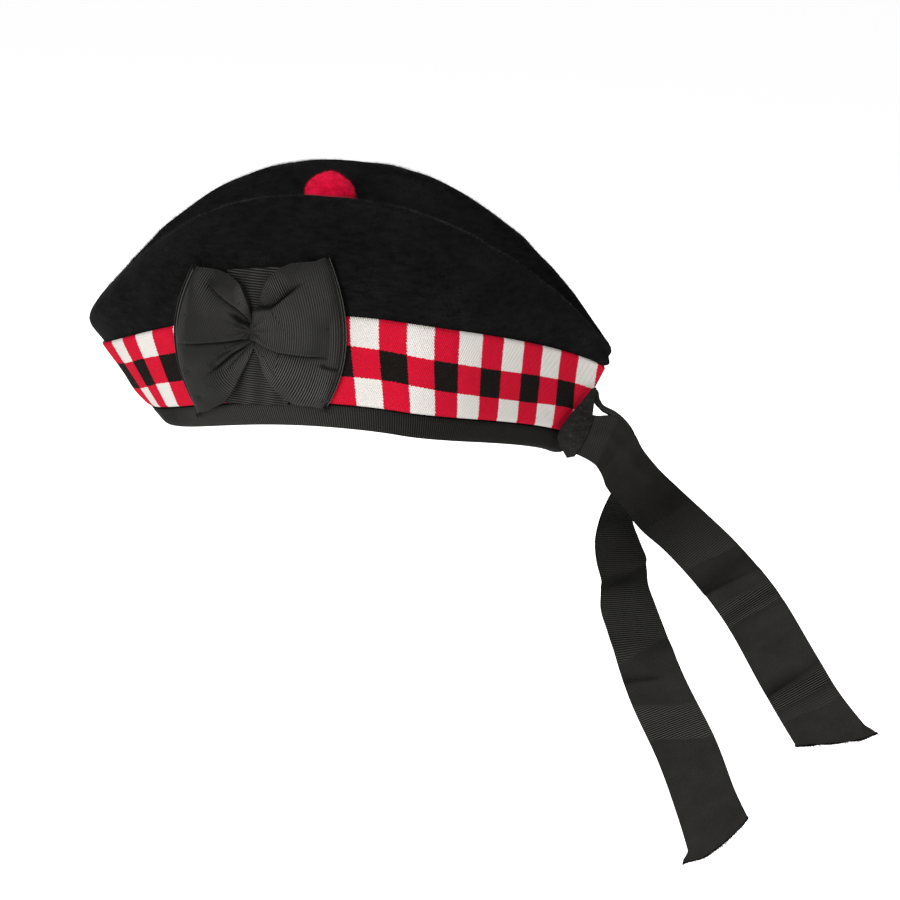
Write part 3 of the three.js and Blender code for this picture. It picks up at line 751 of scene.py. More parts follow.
def diced_material(s):
    """Woven checks in three rows: white and red over red and black over white and red.

    The checks' u counts the columns from the front seam and v the rows from the bottom. Whole
    columns alternate; the weave steps the checks' edges tooth by tooth.
    """
    material, net, shader = start_material("diced_cloth", 0.95, 0.03)
    place = net.uv("cloth")
    checks = net.add("ShaderNodeSeparateXYZ", {0: net.uv("checks")})
    cloth = net.add("ShaderNodeSeparateXYZ", {0: place})
    stray = net.math("SUBTRACT", net.noise(place, 700.0, 2.0, 0.6), 0.5)
    edges = []
    for check, across, pitch, tooth, loose in CHECK_EDGES:
        saw = net.math("FRACT", net.math("DIVIDE", cloth.outputs[across], pitch * MM))
        step = net.math("MULTIPLY", net.math("SUBTRACT", saw, 0.5), tooth)
        step = net.math("MULTIPLY_ADD", stray, loose, step)
        edges.append(net.math("ADD", checks.outputs[check], step))
    column, row = net.math("FLOOR", edges[0]), edges[1]
    odd = net.math("PINGPONG", column, 1.0)
    middle = net.math("MULTIPLY", net.math("GREATER_THAN", row, 1.0), net.math("LESS_THAN", row, 2.0))
    fine = net.noise(place, 1500.0, 3.0, 0.65)
    broad = net.noise(place, 120.0, 3.0, 0.6)
    grain = net.math("MULTIPLY_ADD", broad, 0.5, net.math("MULTIPLY", fine, 0.5))
    yarn = {}
    uneven = (("white_yarn", 0.92, 1.05), ("red_yarn", 0.72, 1.25), ("black_yarn", 0.7, 1.6))
    for key, low, high in uneven:
        yarn[key] = net.mix(grain, shade(dye(key), low), shade(dye(key), high))
    outer_rows = net.mix(odd, yarn["red_yarn"], yarn["white_yarn"])
    inner_row = net.mix(odd, yarn["black_yarn"], yarn["red_yarn"])
    tone = net.mix(middle, outer_rows, inner_row)
    fleck = net.ramp(net.noise(place, 2300.0, 1.0, 0.5), 0.66, 0.8)
    tone = net.mix(net.math("MULTIPLY", fleck, 0.08), tone, (0.75, 0.55, 0.5, 1.0))
    cord = net.wave("COSINE", cloth.outputs[0], s["wale_pitch"] * MM)
    pick = net.wave("COSINE", cloth.outputs[1], PICK_PITCH * MM)
    gap = net.ramp(net.math("MULTIPLY_ADD", pick, 0.2, cord), -0.4, -1.1)
    tone = net.mix(net.math("MULTIPLY", gap, 0.14), tone, (0.02, 0.012, 0.012, 1.0))
    net.tree.links.new(tone, shader.inputs["Base Color"])
    height = net.math("MULTIPLY_ADD", pick, 0.12, cord)
    height = net.math("MULTIPLY_ADD", fine, 0.45, height)
    bump(net, shader, height, 0.00013)
    return material


class GLENGARRY_OT_band(bpy.types.Operator):
    """Diced band round the lower part of the body"""
    bl_idname = "glengarry.band"
    bl_label = "Diced band"

    def execute(self, context):
        s = sizes()
        u, side = even_stations(*STATIONS["band"])
        level = np.linspace(*BAND_ROWS)
        flat = body(level, u, side, s["seat_gap"] + s["band_wall"])
        up = lengths(flat, 0)
        along = self.from_front(flat)
        share = (up / up[-1:]).mean(1, keepdims=True)
        column, row = self.checks(s, along, share)
        inside = s["seat_gap"] + BAND_SEAT
        out = self.proud(inside + s["band_wall"], u, share, along * side, up, column, row)
        outer = body(level, u, side, out)
        inner = body(level[BAND_INSIDE], u, side, inside)
        points = np.concatenate([outer, inner, outer[:1]])
        uv = {**cloth_uv(along * side, up), "checks": np.stack([column, row], -1)}
        for key, place in uv.items():
            uv[key] = np.concatenate([place, place[BAND_INSIDE], place[:1]])
        band = grid_object("diced_band_cloth", points, uv)
        finish_piece(band, diced_material(s), ["diced_band"])
        return {"FINISHED"}

    def checks(self, s, along, share):
        """The column and the row of checks at each place, whole numbers at the checks' edges.

        The column runs straight between the lengths in CHECK_COLUMNS, which go from foot to top
        with the share of the height; the row between the lines of CHECK_ROWS.
        """
        number, foot, top = np.array(CHECK_COLUMNS[1:], float).T
        column = np.empty_like(along)
        for i, f in enumerate(share[:, 0]):
            starts = (foot + (top - foot) * f) * s["check_width"] / CHECK_WIDTH
            column[i] = np.interp(along[i], starts, number)
        place, lower, upper = np.array(CHECK_ROWS[1:], float).T
        lower, upper = np.interp(column, place, lower), np.interp(column, place, upper)
        row = (share / lower).clip(0, 1) + ((share - lower) / (upper - lower)).clip(0, 1)
        return column, row + ((share - upper) / (1 - upper)).clip(0, 1)

    def proud(self, outside, u, share, along, up, column, row):
        """How far the cloth's face stands out from the guide lines.

        outside and a puff in every check, the root of a sine between its edges; a bulge at the
        front end, a bell over height and station; waves; less the rolled edges and the seams.
        """
        puff = np.abs(np.sin(np.pi * column)) ** 0.4 * np.abs(np.sin(np.pi * row)) ** 0.4
        nose = 1.3 * np.exp(-((share - 0.22) / 0.2) ** 2) * np.exp(-((u + 1) / 0.05) ** 2)
        rough = 0.14 * waves(along / 11, up / 9, 31)
        roll = 0.45 * (1 - ease(0, 0.03, share)) + 0.45 * ease(0.97, 1, share)
        return outside + 0.14 * puff + nose + rough - roll + seam_groove(u, 0.5, 0.0005)

    def from_front(self, flat):
        """Length from the front seam on each side, along every level."""
        half = flat.shape[1] // 2
        left = lengths(flat[:, :half + 1], 1)
        right = lengths(flat[:, ::-1][:, :half + 1], 1)[:, ::-1]
        return np.concatenate([left, right[:, 1:]], 1)


# The binding's section, once round it, one place after the other: level of the guide lines, 1
# for the felt's outer side, 0 for its middle and -1 for its inner side, and how many thicknesses
# of the tape the place stands off that side.
BINDING_SECTION = (
    (0.10, 1, 0.0), (0.97, 1, 0.0), (0.985, 1, 0.5), (0.97, 1, 0.95), (0.8, 1, 1.08), (0.6, 1, 1.05),
    (0.4, 1, 1.0), (0.2, 1, 0.95), (0.05, 1, 0.7), (-0.02, 1, 0.1), (-0.05, 0, 0.0), (-0.02, -1, 0.1),
    (0.05, -1, 0.7), (0.3, -1, 1.0), (0.7, -1, 1.0), (0.97, -1, 1.0), (0.985, -1, 0.5),
    (0.97, -1, 0.0), (0.10, -1, 0.0), (0.10, 1, 0.0),
)


class GLENGARRY_OT_binding(bpy.types.Operator):
    """Ribbed tape folded over the lower edge of the body, with painted shade darkening it at the front and
    to the back
    """
    bl_idname = "glengarry.binding"
    bl_label = "Rim binding"

    def execute(self, context):
        s = sizes()
        points, along = self.section(s)
        across = lengths(points, 0)
        # Painted shade: the tape is darkened towards the front and towards the back.
        painted_shade_amount = 0.52 * ease(-20, 50, points[..., 0]) + 0.6 * (1 - ease(-82, -60, points[..., 0]))
        values = {"crisp": np.full(across.shape, 0.5), "tuck": painted_shade_amount}
        binding = grid_object("rim_binding_tape", points, cloth_uv(along, across), values)
        tape = ribbon_material("binding_tape", shade(dye("ribbon"), 0.84), s["tape_pitch"],
                               depth=0.0001, sheen=0.0, specular=0.02)
        finish_piece(binding, tape, ["rim_binding"])
        return {"FINISHED"}

    def section(self, s):
        """The tape's places, a row for each place of its section, and the lengths along the tape.

        A place is the body's surface at its level moved out by the seat gap and its thicknesses
        of tape, or as far inwards past the felt; waves are added where the tape stands free.
        """
        u, side = even_stations(*STATIONS["binding"])
        along = lengths(body(STATIONS["binding"][1:], u, side)[0], 0)
        soft = 0.16 * waves(along / 9, 0 * along, 41)
        rows = []
        for level, place, out in BINDING_SECTION:
            gap = s["seat_gap"] + out * s["tape_wall"]
            shift = {1: gap, 0: -s["felt_wall"] / 2, -1: -s["felt_wall"] - gap}[place]
            proud = soft * place if out > 0.6 else 0
            rows.append(body([level], u, side, shift + proud)[0])
        return np.stack(rows), along


# ---- toorie ---------------------------------------------------------------------------------
TOORIE_X = -6.4      # its middle along the valley
TOORIE_SIT = 1.15    # its middle stands this many radii above the valley's floor
# Small tucks in its felt on the side to the front: direction, depth in mm, reach in radii.
TOORIE_PITS = ((-0.24, -0.69, 0.68, 0.4, 0.08), (0.12, -0.93, 0.34, 0.9, 0.07),
               (0.69, -0.67, 0.27, 0.9, 0.08))


class GLENGARRY_OT_toorie(bpy.types.Operator):
    """Felted wool ball sitting in the valley"""
    bl_idname = "glengarry.toorie"
    bl_label = "Toorie"

    def execute(self, context):
        s = sizes()
        radius = s["toorie_radius"]
        floor = body([LEVEL["valley"]], np.array([0.0]), np.array([-1.0]))[0, 0, 2]
        middle = np.array([TOORIE_X, 0.0, floor + radius * TOORIE_SIT + s["seat_gap"]])
        polar = np.linspace(0, np.pi, 91)
        polar, turn = np.meshgrid(polar, np.linspace(0, 2 * np.pi, 181), indexing="ij")
        way = np.stack([np.sin(polar) * np.cos(turn), np.sin(polar) * np.sin(turn), np.cos(polar)], -1)
        points = middle + way * self.reach(radius, way)[..., None]
        points[0] = points[0].mean(0)
        points[-1] = points[-1].mean(0)
        ball = grid_object("toorie_ball", points, cloth_uv(turn * radius, polar * radius))
        felt = wool_material("red_felted_wool", dye("toorie"), hair=1200.0, flecks=0.3,
                             sheen=0.01, depth=0.0005)
        finish_piece(ball, felt, ["toorie"])
        roots, out = scatter(points[4:-4], np.ones(points[4:-4].shape[:2]), 5200, 54)
        hairs = fibres("toorie_nap", roots, outward(out, roots, middle), 1.15, 0.075, 0.9, 55)
        finish_piece(hairs, felt)
        return {"FINISHED"}

    def reach(self, radius, way):
        """The ball's size by direction: a little under its radius, and uneven.

        Three sums of waves over the direction, a low cap on top, a shallow ring round it and a
        fuller belt above the middle, all by height; less the tucks, bells round their directions.
        """
        x, y, z = np.moveaxis(way, -1, 0)
        swell = 0.30 * waves(x * 3 + z * 2, y * 3 - z * 2, 51)
        swell += 0.22 * waves(x * 8 - z * 5, y * 8 + z * 6, 52)
        swell += 0.22 * waves(x * 21 + z * 17, y * 21 - z * 13, 53)
        form = 0.45 * ease(0.9, 1.0, z) - 0.15 * np.exp(-((z - 0.72) / 0.16) ** 2)
        form = form + 0.35 * np.exp(-((z - 0.25) / 0.3) ** 2)
        pits = 0
        for *place, deep, wide in TOORIE_PITS:
            place = np.array(place)
            away = ((way - place / math.sqrt((place ** 2).sum())) ** 2).sum(-1)
            pits = pits + deep * np.exp(-away / wide ** 2)
        return radius - 0.75 + swell + form - pits


# ---- cockade --------------------------------------------------------------------------------
# The bow's front layer, one row per line from its pinched middle to its side fold: share of the
# way, the ends of the line in mm from the bow's middle, the line's bulge to the side as a share
# of its length, and its height over the back layer.
WING_COLUMNS = ("share", "top_along", "top_up", "foot_along", "foot_up", "bulge", "puff")
WING_LEFT = (
    (0.00, 0.6, 7.5, 1.6, -6.2, 0.000, 1.2),
    (0.10, -0.8, 11.8, -0.6, -12.6, 0.060, 2.8),
    (0.25, -2.9, 16.9, -3.4, -20.2, 0.120, 4.8),
    (0.40, -5.3, 21.0, -6.4, -28.0, 0.140, 6.2),
    (0.55, -9.4, 23.7, -10.0, -34.6, 0.140, 6.8),
    (0.70, -15.0, 25.2, -13.8, -37.6, 0.138, 6.6),
    (0.85, -21.0, 25.4, -17.9, -41.0, 0.142, 5.6),
    (1.00, -26.8, 24.9, -23.6, -44.0, 0.132, 3.6),
)
WING_RIGHT = (
    (0.00, 0.5, 8.4, 0.8, -6.2, 0.000, 2.2),
    (0.10, 3.5, 14.6, 4.6, -11.2, 0.030, 3.6),
    (0.25, 6.4, 21.9, 8.8, -19.0, 0.095, 6.0),
    (0.40, 11.0, 27.5, 13.6, -24.8, 0.103, 7.4),
    (0.55, 16.6, 30.5, 18.6, -29.0, 0.106, 7.9),
    (0.70, 22.4, 31.6, 24.3, -31.2, 0.107, 7.5),
    (0.85, 27.9, 32.4, 30.2, -31.3, 0.114, 6.2),
    (1.00, 32.0, 34.4, 34.6, -32.4, 0.134, 3.6),
)
# The outer ends of the back layer, which show past the front layer's fold.
BACK_LEFT_END = (1.00, -29.7, 26.0, -24.8, -46.4, 0.142, 0.0)
BACK_RIGHT_END = (1.00, 33.2, 35.6, 36.0, -33.2, 0.138, 0.0)
# Where the cords stand open, with their crests painted paler and their grooves painted darker: middle along
# and up, reach each way, and how much.
OPEN_CORDS = (
    (14.0, -14.0, 20.0, 10.0, 1.0), (30.0, -20.0, 12.0, 12.0, 0.95), (-2.5, 17.0, 4.0, 8.0, 0.8),
    (9.0, 18.5, 9.0, 8.0, 1.0), (15.0, 3.0, 15.0, 12.0, 0.5), (30.0, 20.0, 12.0, 12.0, 0.35),
    (-8.0, -20.0, 6.0, 9.0, 0.7), (-15.0, -22.0, 12.0, 12.0, 0.3), (-14.0, 12.0, 11.0, 7.0, 0.4),
    (41.0, 0.0, 4.0, 26.0, 0.5), (-31.0, 8.0, 3.5, 20.0, 0.6), (-21.0, 20.0, 5.0, 6.0, 0.75),
    (-32.0, -16.0, 3.5, 12.0, 0.5),
)
# Pleats: ends and middle of each fold line, depth, 1 or -1 for the side that lies on top, its
# reach, and how dark the painted shade under the lip is over how many mm.
PLEAT_COLUMNS = ("along_a", "up_a", "along_b", "up_b", "along_c", "up_c",
                 "depth", "lip", "soft", "dark", "wide")
PLEATS_LEFT = (
    (0.5, 5.9, -5.4, 11.1, -18.0, 19.0, 2.7, 1, 4.2, 0.95, 1.3),
    (1.2, 2.7, -3.5, 4.8, -8.0, 7.6, 1.6, -1, 2.6, 0.5, 1.1),
    (-1.0, -2.0, -14.1, -4.2, -29.5, -7.0, 2.2, 1, 3.6, 0.7, 0.9),
    (1.4, -3.5, -6.6, -9.0, -15.8, -18.6, 2.6, 1, 3.4, 0.85, 1.3),
    (-1.2, -6.6, -5.6, -12.4, -8.6, -17.0, 0.9, 1, 2.0, 0.4, 0.8),
    (-5.5, -6.5, -9.5, -8.6, -13.0, -11.2, 0.7, 1, 1.8, 0.35, 0.7),
)
PLEATS_RIGHT = (
    (2.7, 10.6, 11.3, 12.3, 22.7, 22.1, 3.1, -1, 4.4, 0.8, 3.6),
    (2.9, -1.8, 15.3, -5.1, 36.0, -6.2, 3.0, 1, 4.6, 1.0, 1.7),
    (3.0, -5.0, 9.0, -9.5, 15.0, -17.5, 1.2, 1, 2.4, 0.4, 0.8),
    (34.5, -11.0, 38.5, -12.4, 42.3, -14.1, 1.1, -1, 1.8, 0.6, 0.8),
)
# Spots painted darker as shade, with no fold line in the cloth: middle along and up, reach, how much.
PAINTED_SHADE_SPOTS = ((-17.5, 19.5, 2.6, 0.8), (-14.2, -14.9, 2.4, 0.75), (35.0, -6.6, 1.4, 0.7),
           (-14.0, -22.0, 9.0, 0.4), (10.0, 15.5, 5.0, 0.45), (0.6, 4.6, 1.6, 0.6),
           (2.0, -3.4, 1.8, 0.6), (-4.5, 4.6, 1.8, 0.6))
# Stitches on the front layer: along and up.
TACKS = ((33.6, 17.5), (36.5, 5.6), (33.4, -6.8), (35.1, -28.2), (-28.3, 5.5), (-27.5, -8.1),
         (-26.0, -20.0), (-20.8, -33.2), (-16.1, 16.2), (21.6, 31.2))
# Frayed places round the bow: along and up, the way its threads point, spread and number.
BOW_TUFTS = ((-28.6, 25.6, -1.2, 1.6, 0.8, 16), (-24.6, -45.4, -0.3, -1.8, 0.9, 18),
             (33.0, 34.6, 0.6, 1.5, 0.7, 12), (35.0, -32.6, 1.3, -1.2, 0.9, 16),
             (24.0, 32.6, 0.0, 1.2, 2.5, 12), (-12.0, 28.0, 0.0, 1.2, 2.5, 10))
BOW_CORDS = 44       # cords from the bow's middle to its side fold
CORD_STEPS = 4       # rows of a ribbon's grid for each cord
FRAY_STEPS = 6       # points along a frayed thread
BOW_LEAN = 0.115     # how far the ends of the cords are drawn to the pinched middle
BOW_OUT = 4.1        # the back layer lies this far from the body
PINCH = (1.2, 1.5)   # where the front layer is drawn together: along and up
WING_BASE = 1.6      # height of the front layer over the back layer, apart from its puff
WING_FOLD = 0.35     # its height where it is folded round at the side
WING_LEAST = 0.75    # no place of it comes lower than this
# Painted shade: how much the bow's left half is darkened as a whole.
LEFT_PAINTED_SHADE = 0.28     # how much darker the bow's left half is
BACK_INSET = 1.3     # how far the back layer's upper and lower edges are drawn in
# The backing: its middle along and half its width, how far its foot leans to the front, the
# height up of its two edges and how they slope, and how far it lies from the body.
BACKING = {"middle": 2.3, "half": 16.2, "lean": 0.8, "low": -36.0, "low_slope": 0.12,
           "high": 28.7, "high_slope": 0.15, "out": 2.7}


def wing_lines(rows, t, v):
    """A wing's flat places (along, up) and puff for shares t of its width and v of its height.

    A place is the straight mix of the foot and top edges by v, moved sideways by
    4 v (1 - v) times the line's length and bulge. The lines' ends are drawn back towards the
    pinched middle by BOW_LEAN sin(pi t)^2 of the wing, while their middles stay.
    """
    table = np.array(rows, float)
    column = dict(zip(WING_COLUMNS, table.T))
    knot = np.interp(t, column["share"], np.arange(len(table)))
    ends = np.stack([np.stack([column["top_along"], column["top_up"]], -1),
                     np.stack([column["foot_along"], column["foot_up"]], -1)], 1)
    edge = through(ends, np.broadcast_to(knot[:, None], (len(t), 2)))
    reach = edge.mean(1, keepdims=True)
    lean = np.interp(t - BOW_LEAN * np.sin(np.pi * t) ** 2, column["share"], np.arange(len(table)))
    edge = through(ends, np.broadcast_to(lean[:, None], (len(t), 2)))
    top, foot = edge[:, :1], edge[:, 1:]
    reach = reach - edge.mean(1, keepdims=True)
    v = v[None, :, None]
    bulge = np.interp(knot, np.arange(len(table)), column["bulge"])[:, None]
    puff = np.interp(knot, np.arange(len(table)), column["puff"])[:, None]
    tall = np.linalg.norm(top - foot, axis=-1)
    place = foot * (1 - v) + top * v
    side = np.sign(column["top_along"][-1])
    place += 4 * v * (1 - v) * reach
    place[..., 0] += side * 4 * (v * (1 - v))[..., 0] * tall * bulge
    return place, puff


def pleats(place, rows):
    """Height of the folds: each side of a fold line lies over or under by depth, dying away.

    The signed distance to the line is taken to its nearest stretch; height is
    depth * tanh(distance / 0.35) * exp(-|distance| / reach), 0.8 of it over the lip and 1.2
    under, with a groove of 0.5 depth under the lip, and faded beyond the line's ends. The
    painted shade, 0 to 1, darkens the cloth under a lip and round the listed dark spots.
    """
    total = np.zeros(place.shape[:2])
    tuck = np.zeros(place.shape[:2])
    for row in rows:
        p = dict(zip(PLEAT_COLUMNS, row))
        line = np.array([[p["along_a"], p["up_a"]], [p["along_b"], p["up_b"]], [p["along_c"], p["up_c"]]])
        best = np.full(place.shape[:2], 1e9)
        signed = np.zeros(place.shape[:2])
        fade = np.zeros(place.shape[:2])
        for k in range(2):
            a, b = line[k], line[k + 1]
            way = b - a
            long = np.linalg.norm(way)
            run = ((place - a) @ way) / long ** 2
            near = a + np.clip(run, 0, 1)[..., None] * way
            gap = np.linalg.norm(place - near, axis=-1)
            turn = np.sign(way[0] * (place[..., 1] - a[1]) - way[1] * (place[..., 0] - a[0]))
            closer = gap < best
            best = np.where(closer, gap, best)
            signed = np.where(closer, gap * turn * np.sign(way[0]), signed)
            beyond = np.clip(-run, 0, None) + np.clip(run - 1, 0, None)
            fade = np.where(closer, np.exp(-beyond * long / 1.5), fade)
            if k == 1:
                fade = fade * np.where(closer, 1 - 0.6 * ease(0.6, 1.0, run), 1)
        over = signed * p["lip"]
        reach = np.where(over > 0, 1.5, 1.1) * p["soft"]
        shape = np.where(over > 0, 0.8, 1.2) * np.tanh(over / 0.35) * np.exp(-best / reach)
        shape = shape - 0.5 * np.exp(-((over + 0.5) / 0.8) ** 2) * (over < 0.3)
        total += p["depth"] * shape * fade
        # Painted shade under the lip.
        under = np.exp(-np.clip(-over / p["wide"], 0, None) ** 1.5) * (1 - ease(-0.2, 0.5, over))
        tuck = np.maximum(tuck, p["dark"] * under * fade)
    # Painted shade round the listed dark spots.
    for along, up, reach, much in PAINTED_SHADE_SPOTS:
        away = ((place - np.array([along, up])) ** 2).sum(-1) / reach ** 2
        tuck = np.maximum(tuck, much * np.exp(-away))
    return total, tuck


def wing(name, rows, folds, s, seed):
    """One side of the bow's front layer, from the pinched middle to the rolled side fold.

    Out from the body: the back layer plus the puff, less towards top and foot, rolled down to
    the back layer at the fold; pleats, gathers that spread from the middle, tack dimples, soft
    waves and the cords of the ribbon are added. Painted shade darkens the tucks and the whole left half.
    """
    t = np.linspace(0, 1, BOW_CORDS * CORD_STEPS + 1)
    v = np.linspace(0, 1, 171)
    place, puff = wing_lines(rows, t, v)
    middle = (2 * v - 1)[None, :]
    height = puff * (1 - 0.55 * np.abs(middle) ** 4)
    corner = np.abs(middle) ** 6
    turned = np.sqrt(np.clip(1 - ((t[:, None] - 0.9) / 0.1).clip(0) ** 2, 0, None))
    drop = (1 - turned) * (1 - 0.7 * corner)
    height = WING_BASE + height
    height = height - drop * (height - WING_FOLD)
    from_pinch = np.linalg.norm(place - np.array(PINCH), axis=-1)
    bearing = np.arctan2(place[..., 1] - PINCH[1], np.abs(place[..., 0] - PINCH[0]))
    gathers = 0.7 * np.cos(bearing * 11 + seed) * np.exp(-from_pinch / 9) * ease(0.5, 4, from_pinch)
    crumple = waves(place[..., 0] / 1.9, place[..., 1] / 1.5, seed + 9)
    gathers += 1.1 * crumple * np.exp(-(from_pinch / 5.5) ** 2)
    soft = 0.28 * waves(place[..., 0] / 7, place[..., 1] / 7, seed) * ease(3, 14, from_pinch)
    dimple = sum(0.55 * np.exp(-((place - np.array(tack)) ** 2).sum(-1) / 2.2 ** 2) for tack in TACKS)
    crisp = open_cords(place)
    cord = (0.05 + 0.14 * crisp) * np.cos(2 * np.pi * t * BOW_CORDS)[:, None]
    cord = cord * ease(0.01, 0.08, t)[:, None]
    fold, tuck = pleats(place, folds)
    # Painted shade: the bow's left half is darkened as a whole.
    tuck = 1 - (1 - tuck) * (1 - LEFT_PAINTED_SHADE * (1 - ease(-14, -4, place[..., 0])))
    height = height + fold + gathers + soft - dimple + cord
    height = np.maximum(height, WING_LEAST)
    points = on_side(place[..., 0], place[..., 1], BOW_OUT + height)
    uv = cloth_uv(t[:, None] * (BOW_CORDS * s["bow_pitch"]), lengths(points, 1))
    values = {"crisp": crisp, "tuck": tuck}
    return open_sheet(name, points, uv, s["ribbon_wall"] * 0.8, values), points


def open_cords(place):
    """How open the cords stand, 0.08 to 1: the largest of the bells of OPEN_CORDS."""
    crisp = np.full(place.shape[:2], 0.08)
    for along, up, wide, tall, much in OPEN_CORDS:
        away = ((place[..., 0] - along) / wide) ** 2 + ((place[..., 1] - up) / tall) ** 2
        crisp = np.maximum(crisp, much * np.exp(-away ** 2))
    return crisp


class GLENGARRY_OT_cockade(bpy.types.Operator):
    """Bow of ribbed ribbon on its backing piece, with its tacks and frayed corners"""
    bl_idname = "glengarry.cockade"
    bl_label = "Cockade"

    def execute(self, context):
        s = sizes()
        cloth = ribbon_material("bow_ribbon", shade(dye("ribbon"), 0.68), s["bow_pitch"])
        left, left_points = wing("bow_front_left", WING_LEFT, PLEATS_LEFT, s, 61)
        right, right_points = wing("bow_front_right", WING_RIGHT, PLEATS_RIGHT, s, 62)
        finish_piece(left, cloth, ["cockade_bow"])
        finish_piece(right, cloth, ["cockade_bow"])
        self.back_layer(s, cloth)
        self.backing(s)
        self.tacks(cloth, np.concatenate([left_points, right_points]))
        return {"FINISHED"}

    def back_layer(self, s, cloth):
        """The bow's flat back layer: the front layer's edges drawn in, its ends let out."""
        t = np.linspace(0, 1, BOW_CORDS * CORD_STEPS + 1)
        v = np.linspace(0, 1, 27)
        wings = []
        for rows, end in ((WING_LEFT, BACK_LEFT_END), (WING_RIGHT, BACK_RIGHT_END)):
            drawn = []
            for f, x, z, a, b, w, _ in rows[:-1]:
                inset = BACK_INSET * (1 - f ** 6)
                drawn.append((f, x, z - inset, a, b + inset, w, 0))
            wings.append(wing_lines([*drawn, end], t, v)[0])
        place = np.concatenate([wings[0][:0:-1], wings[1]])
        count = np.concatenate([-t[:0:-1], t]) * BOW_CORDS
        height = 0.06 * waves(place[..., 0] / 6, place[..., 1] / 6, 63)
        height = height + 0.12 * np.cos(2 * np.pi * count)[:, None]
        edge = np.abs(place[..., 0]) / 40
        points = on_side(place[..., 0], place[..., 1], BOW_OUT + height + 0.3 * ease(0.6, 1, edge))
        uv = cloth_uv(count[:, None] * s["bow_pitch"], lengths(points, 1))
        values = {"crisp": np.full(points.shape[:2], 0.8)}
        back = open_sheet("bow_back_layer", points, uv, s["ribbon_wall"] * 0.7, values)
        finish_piece(back, cloth, ["cockade_bow"])

    def backing(self, s):
        """Flat piece behind the bow, a rectangle leaning a little, with level ribs and soft waves."""
        along, up = np.meshgrid(np.linspace(-1, 1, 24), np.linspace(0, 1, 240), indexing="ij")
        b = BACKING
        x = b["middle"] + b["half"] * along - b["lean"] * (1 - up)
        low = b["low"] + b["low_slope"] * (x - b["middle"])
        high = b["high"] + b["high_slope"] * (x - b["middle"])
        z = low + (high - low) * up
        ribs = 0.1 * np.cos(2 * np.pi * up * (high - low) / s["backing_pitch"])
        out = b["out"] + ribs + 0.12 * waves(x / 8, z / 8, 64)
        values = {"crisp": np.full(x.shape, 0.62)}
        piece = open_sheet("bow_backing_ribbon", on_side(x, z, out), cloth_uv(z, x),
                           s["ribbon_wall"] * 0.8, values)
        cloth = ribbon_material("backing_ribbon", shade(dye("ribbon"), 0.64), s["backing_pitch"])
        finish_piece(piece, cloth, ["cockade_backing"])

    def tacks(self, cloth, surface):
        """Small stitches on the bow, short bars of thread, and the frayed threads round its edge.

        A bar bends down into the cloth at its ends; a frayed thread is a straight run with half
        a sine wave to one side.
        """
        flat = surface.reshape(-1, 3)
        goal = on_side(*np.array([(a, b, BOW_OUT + 8) for a, b in TACKS]).T)
        nearest = [int(np.argmin(((flat - g)[:, [0, 2]] ** 2).sum(-1))) for g in goal]
        seat = flat[nearest]
        out = np.array([-0.05, -0.97, 0.24])        # away from the bow
        rng = np.random.default_rng(65)
        turn = rng.uniform(-0.5, 0.5, len(seat))[:, None]
        way = np.stack([np.sin(turn[:, 0]), 0 * turn[:, 0], np.cos(turn[:, 0])], -1)
        f = np.linspace(-1, 1, 7)[None, :, None]
        path = seat[:, None] + way[:, None] * f * 0.8 + out * (0.55 - 0.5 * f ** 2)
        finish_piece(tubes("bow_tacks", path, 0.2, 6), cloth)
        tufts = []
        for along, up, ahead, above, wide, count in BOW_TUFTS:
            start = np.array([along, up]) + rng.normal(size=(count, 2)) * wide
            grow = np.array([ahead, above]) + rng.normal(size=(count, 2)) * 0.7
            f = np.linspace(0, 1, FRAY_STEPS)[None, :, None]
            flat = start[:, None] + grow[:, None] * f * rng.uniform(0.6, 1.3, (count, 1, 1))
            flat = flat + rng.normal(size=(count, 1, 2)) * 0.5 * np.sin(np.pi * f)
            tufts.append(on_side(flat[..., 0], flat[..., 1], BOW_OUT + rng.uniform(0.2, 1.3, (count, 1))))
        thread = wool_material("bow_thread", shade(dye("ribbon"), 0.25), hair=2000.0, flecks=0.5)
        radius = 0.14 - 0.05 * np.linspace(0, 1, FRAY_STEPS)[None, :]
        finish_piece(tubes("bow_fray", np.concatenate(tufts), radius, 5), thread)


def tubes(name, paths, radius, around):
    """Round threads along paths (threads, points, 3); the radius may vary along the thread."""
    paths = np.asarray(paths, float)
    way = np.gradient(paths, axis=1)
    way /= np.linalg.norm(way, axis=-1, keepdims=True).clip(1e-9)
    helper = np.where(np.abs(way[..., 2:]) > 0.85, np.array([1.0, 0, 0]), np.array([0, 0, 1.0]))
    a = np.cross(way, helper)
    a /= np.linalg.norm(a, axis=-1, keepdims=True).clip(1e-9)
    b = np.cross(way, a)
    turn = np.linspace(0, 2 * np.pi, around, endpoint=False)
    radius = np.broadcast_to(radius, paths.shape[:2])[..., None, None]
    ring = a[..., None, :] * np.cos(turn)[:, None] + b[..., None, :] * np.sin(turn)[:, None]
    points = paths[..., None, :] + ring * radius
    count, steps = paths.shape[:2]
    i, j, k = np.meshgrid(np.arange(count), np.arange(steps - 1), np.arange(around), indexing="ij")
    base = (i * steps + j) * around
    after = (k + 1) % around
    quads = np.stack([base + k, base + after, base + around + after, base + around + k], -1)
    quads = quads.reshape(-1, 4)
    start = np.arange(count)[:, None] * steps * around
    end = start + (steps - 1) * around
    caps = np.concatenate([start + np.arange(around)[::-1], end + np.arange(around)])
    return mesh_object(name, points, [quads, caps])


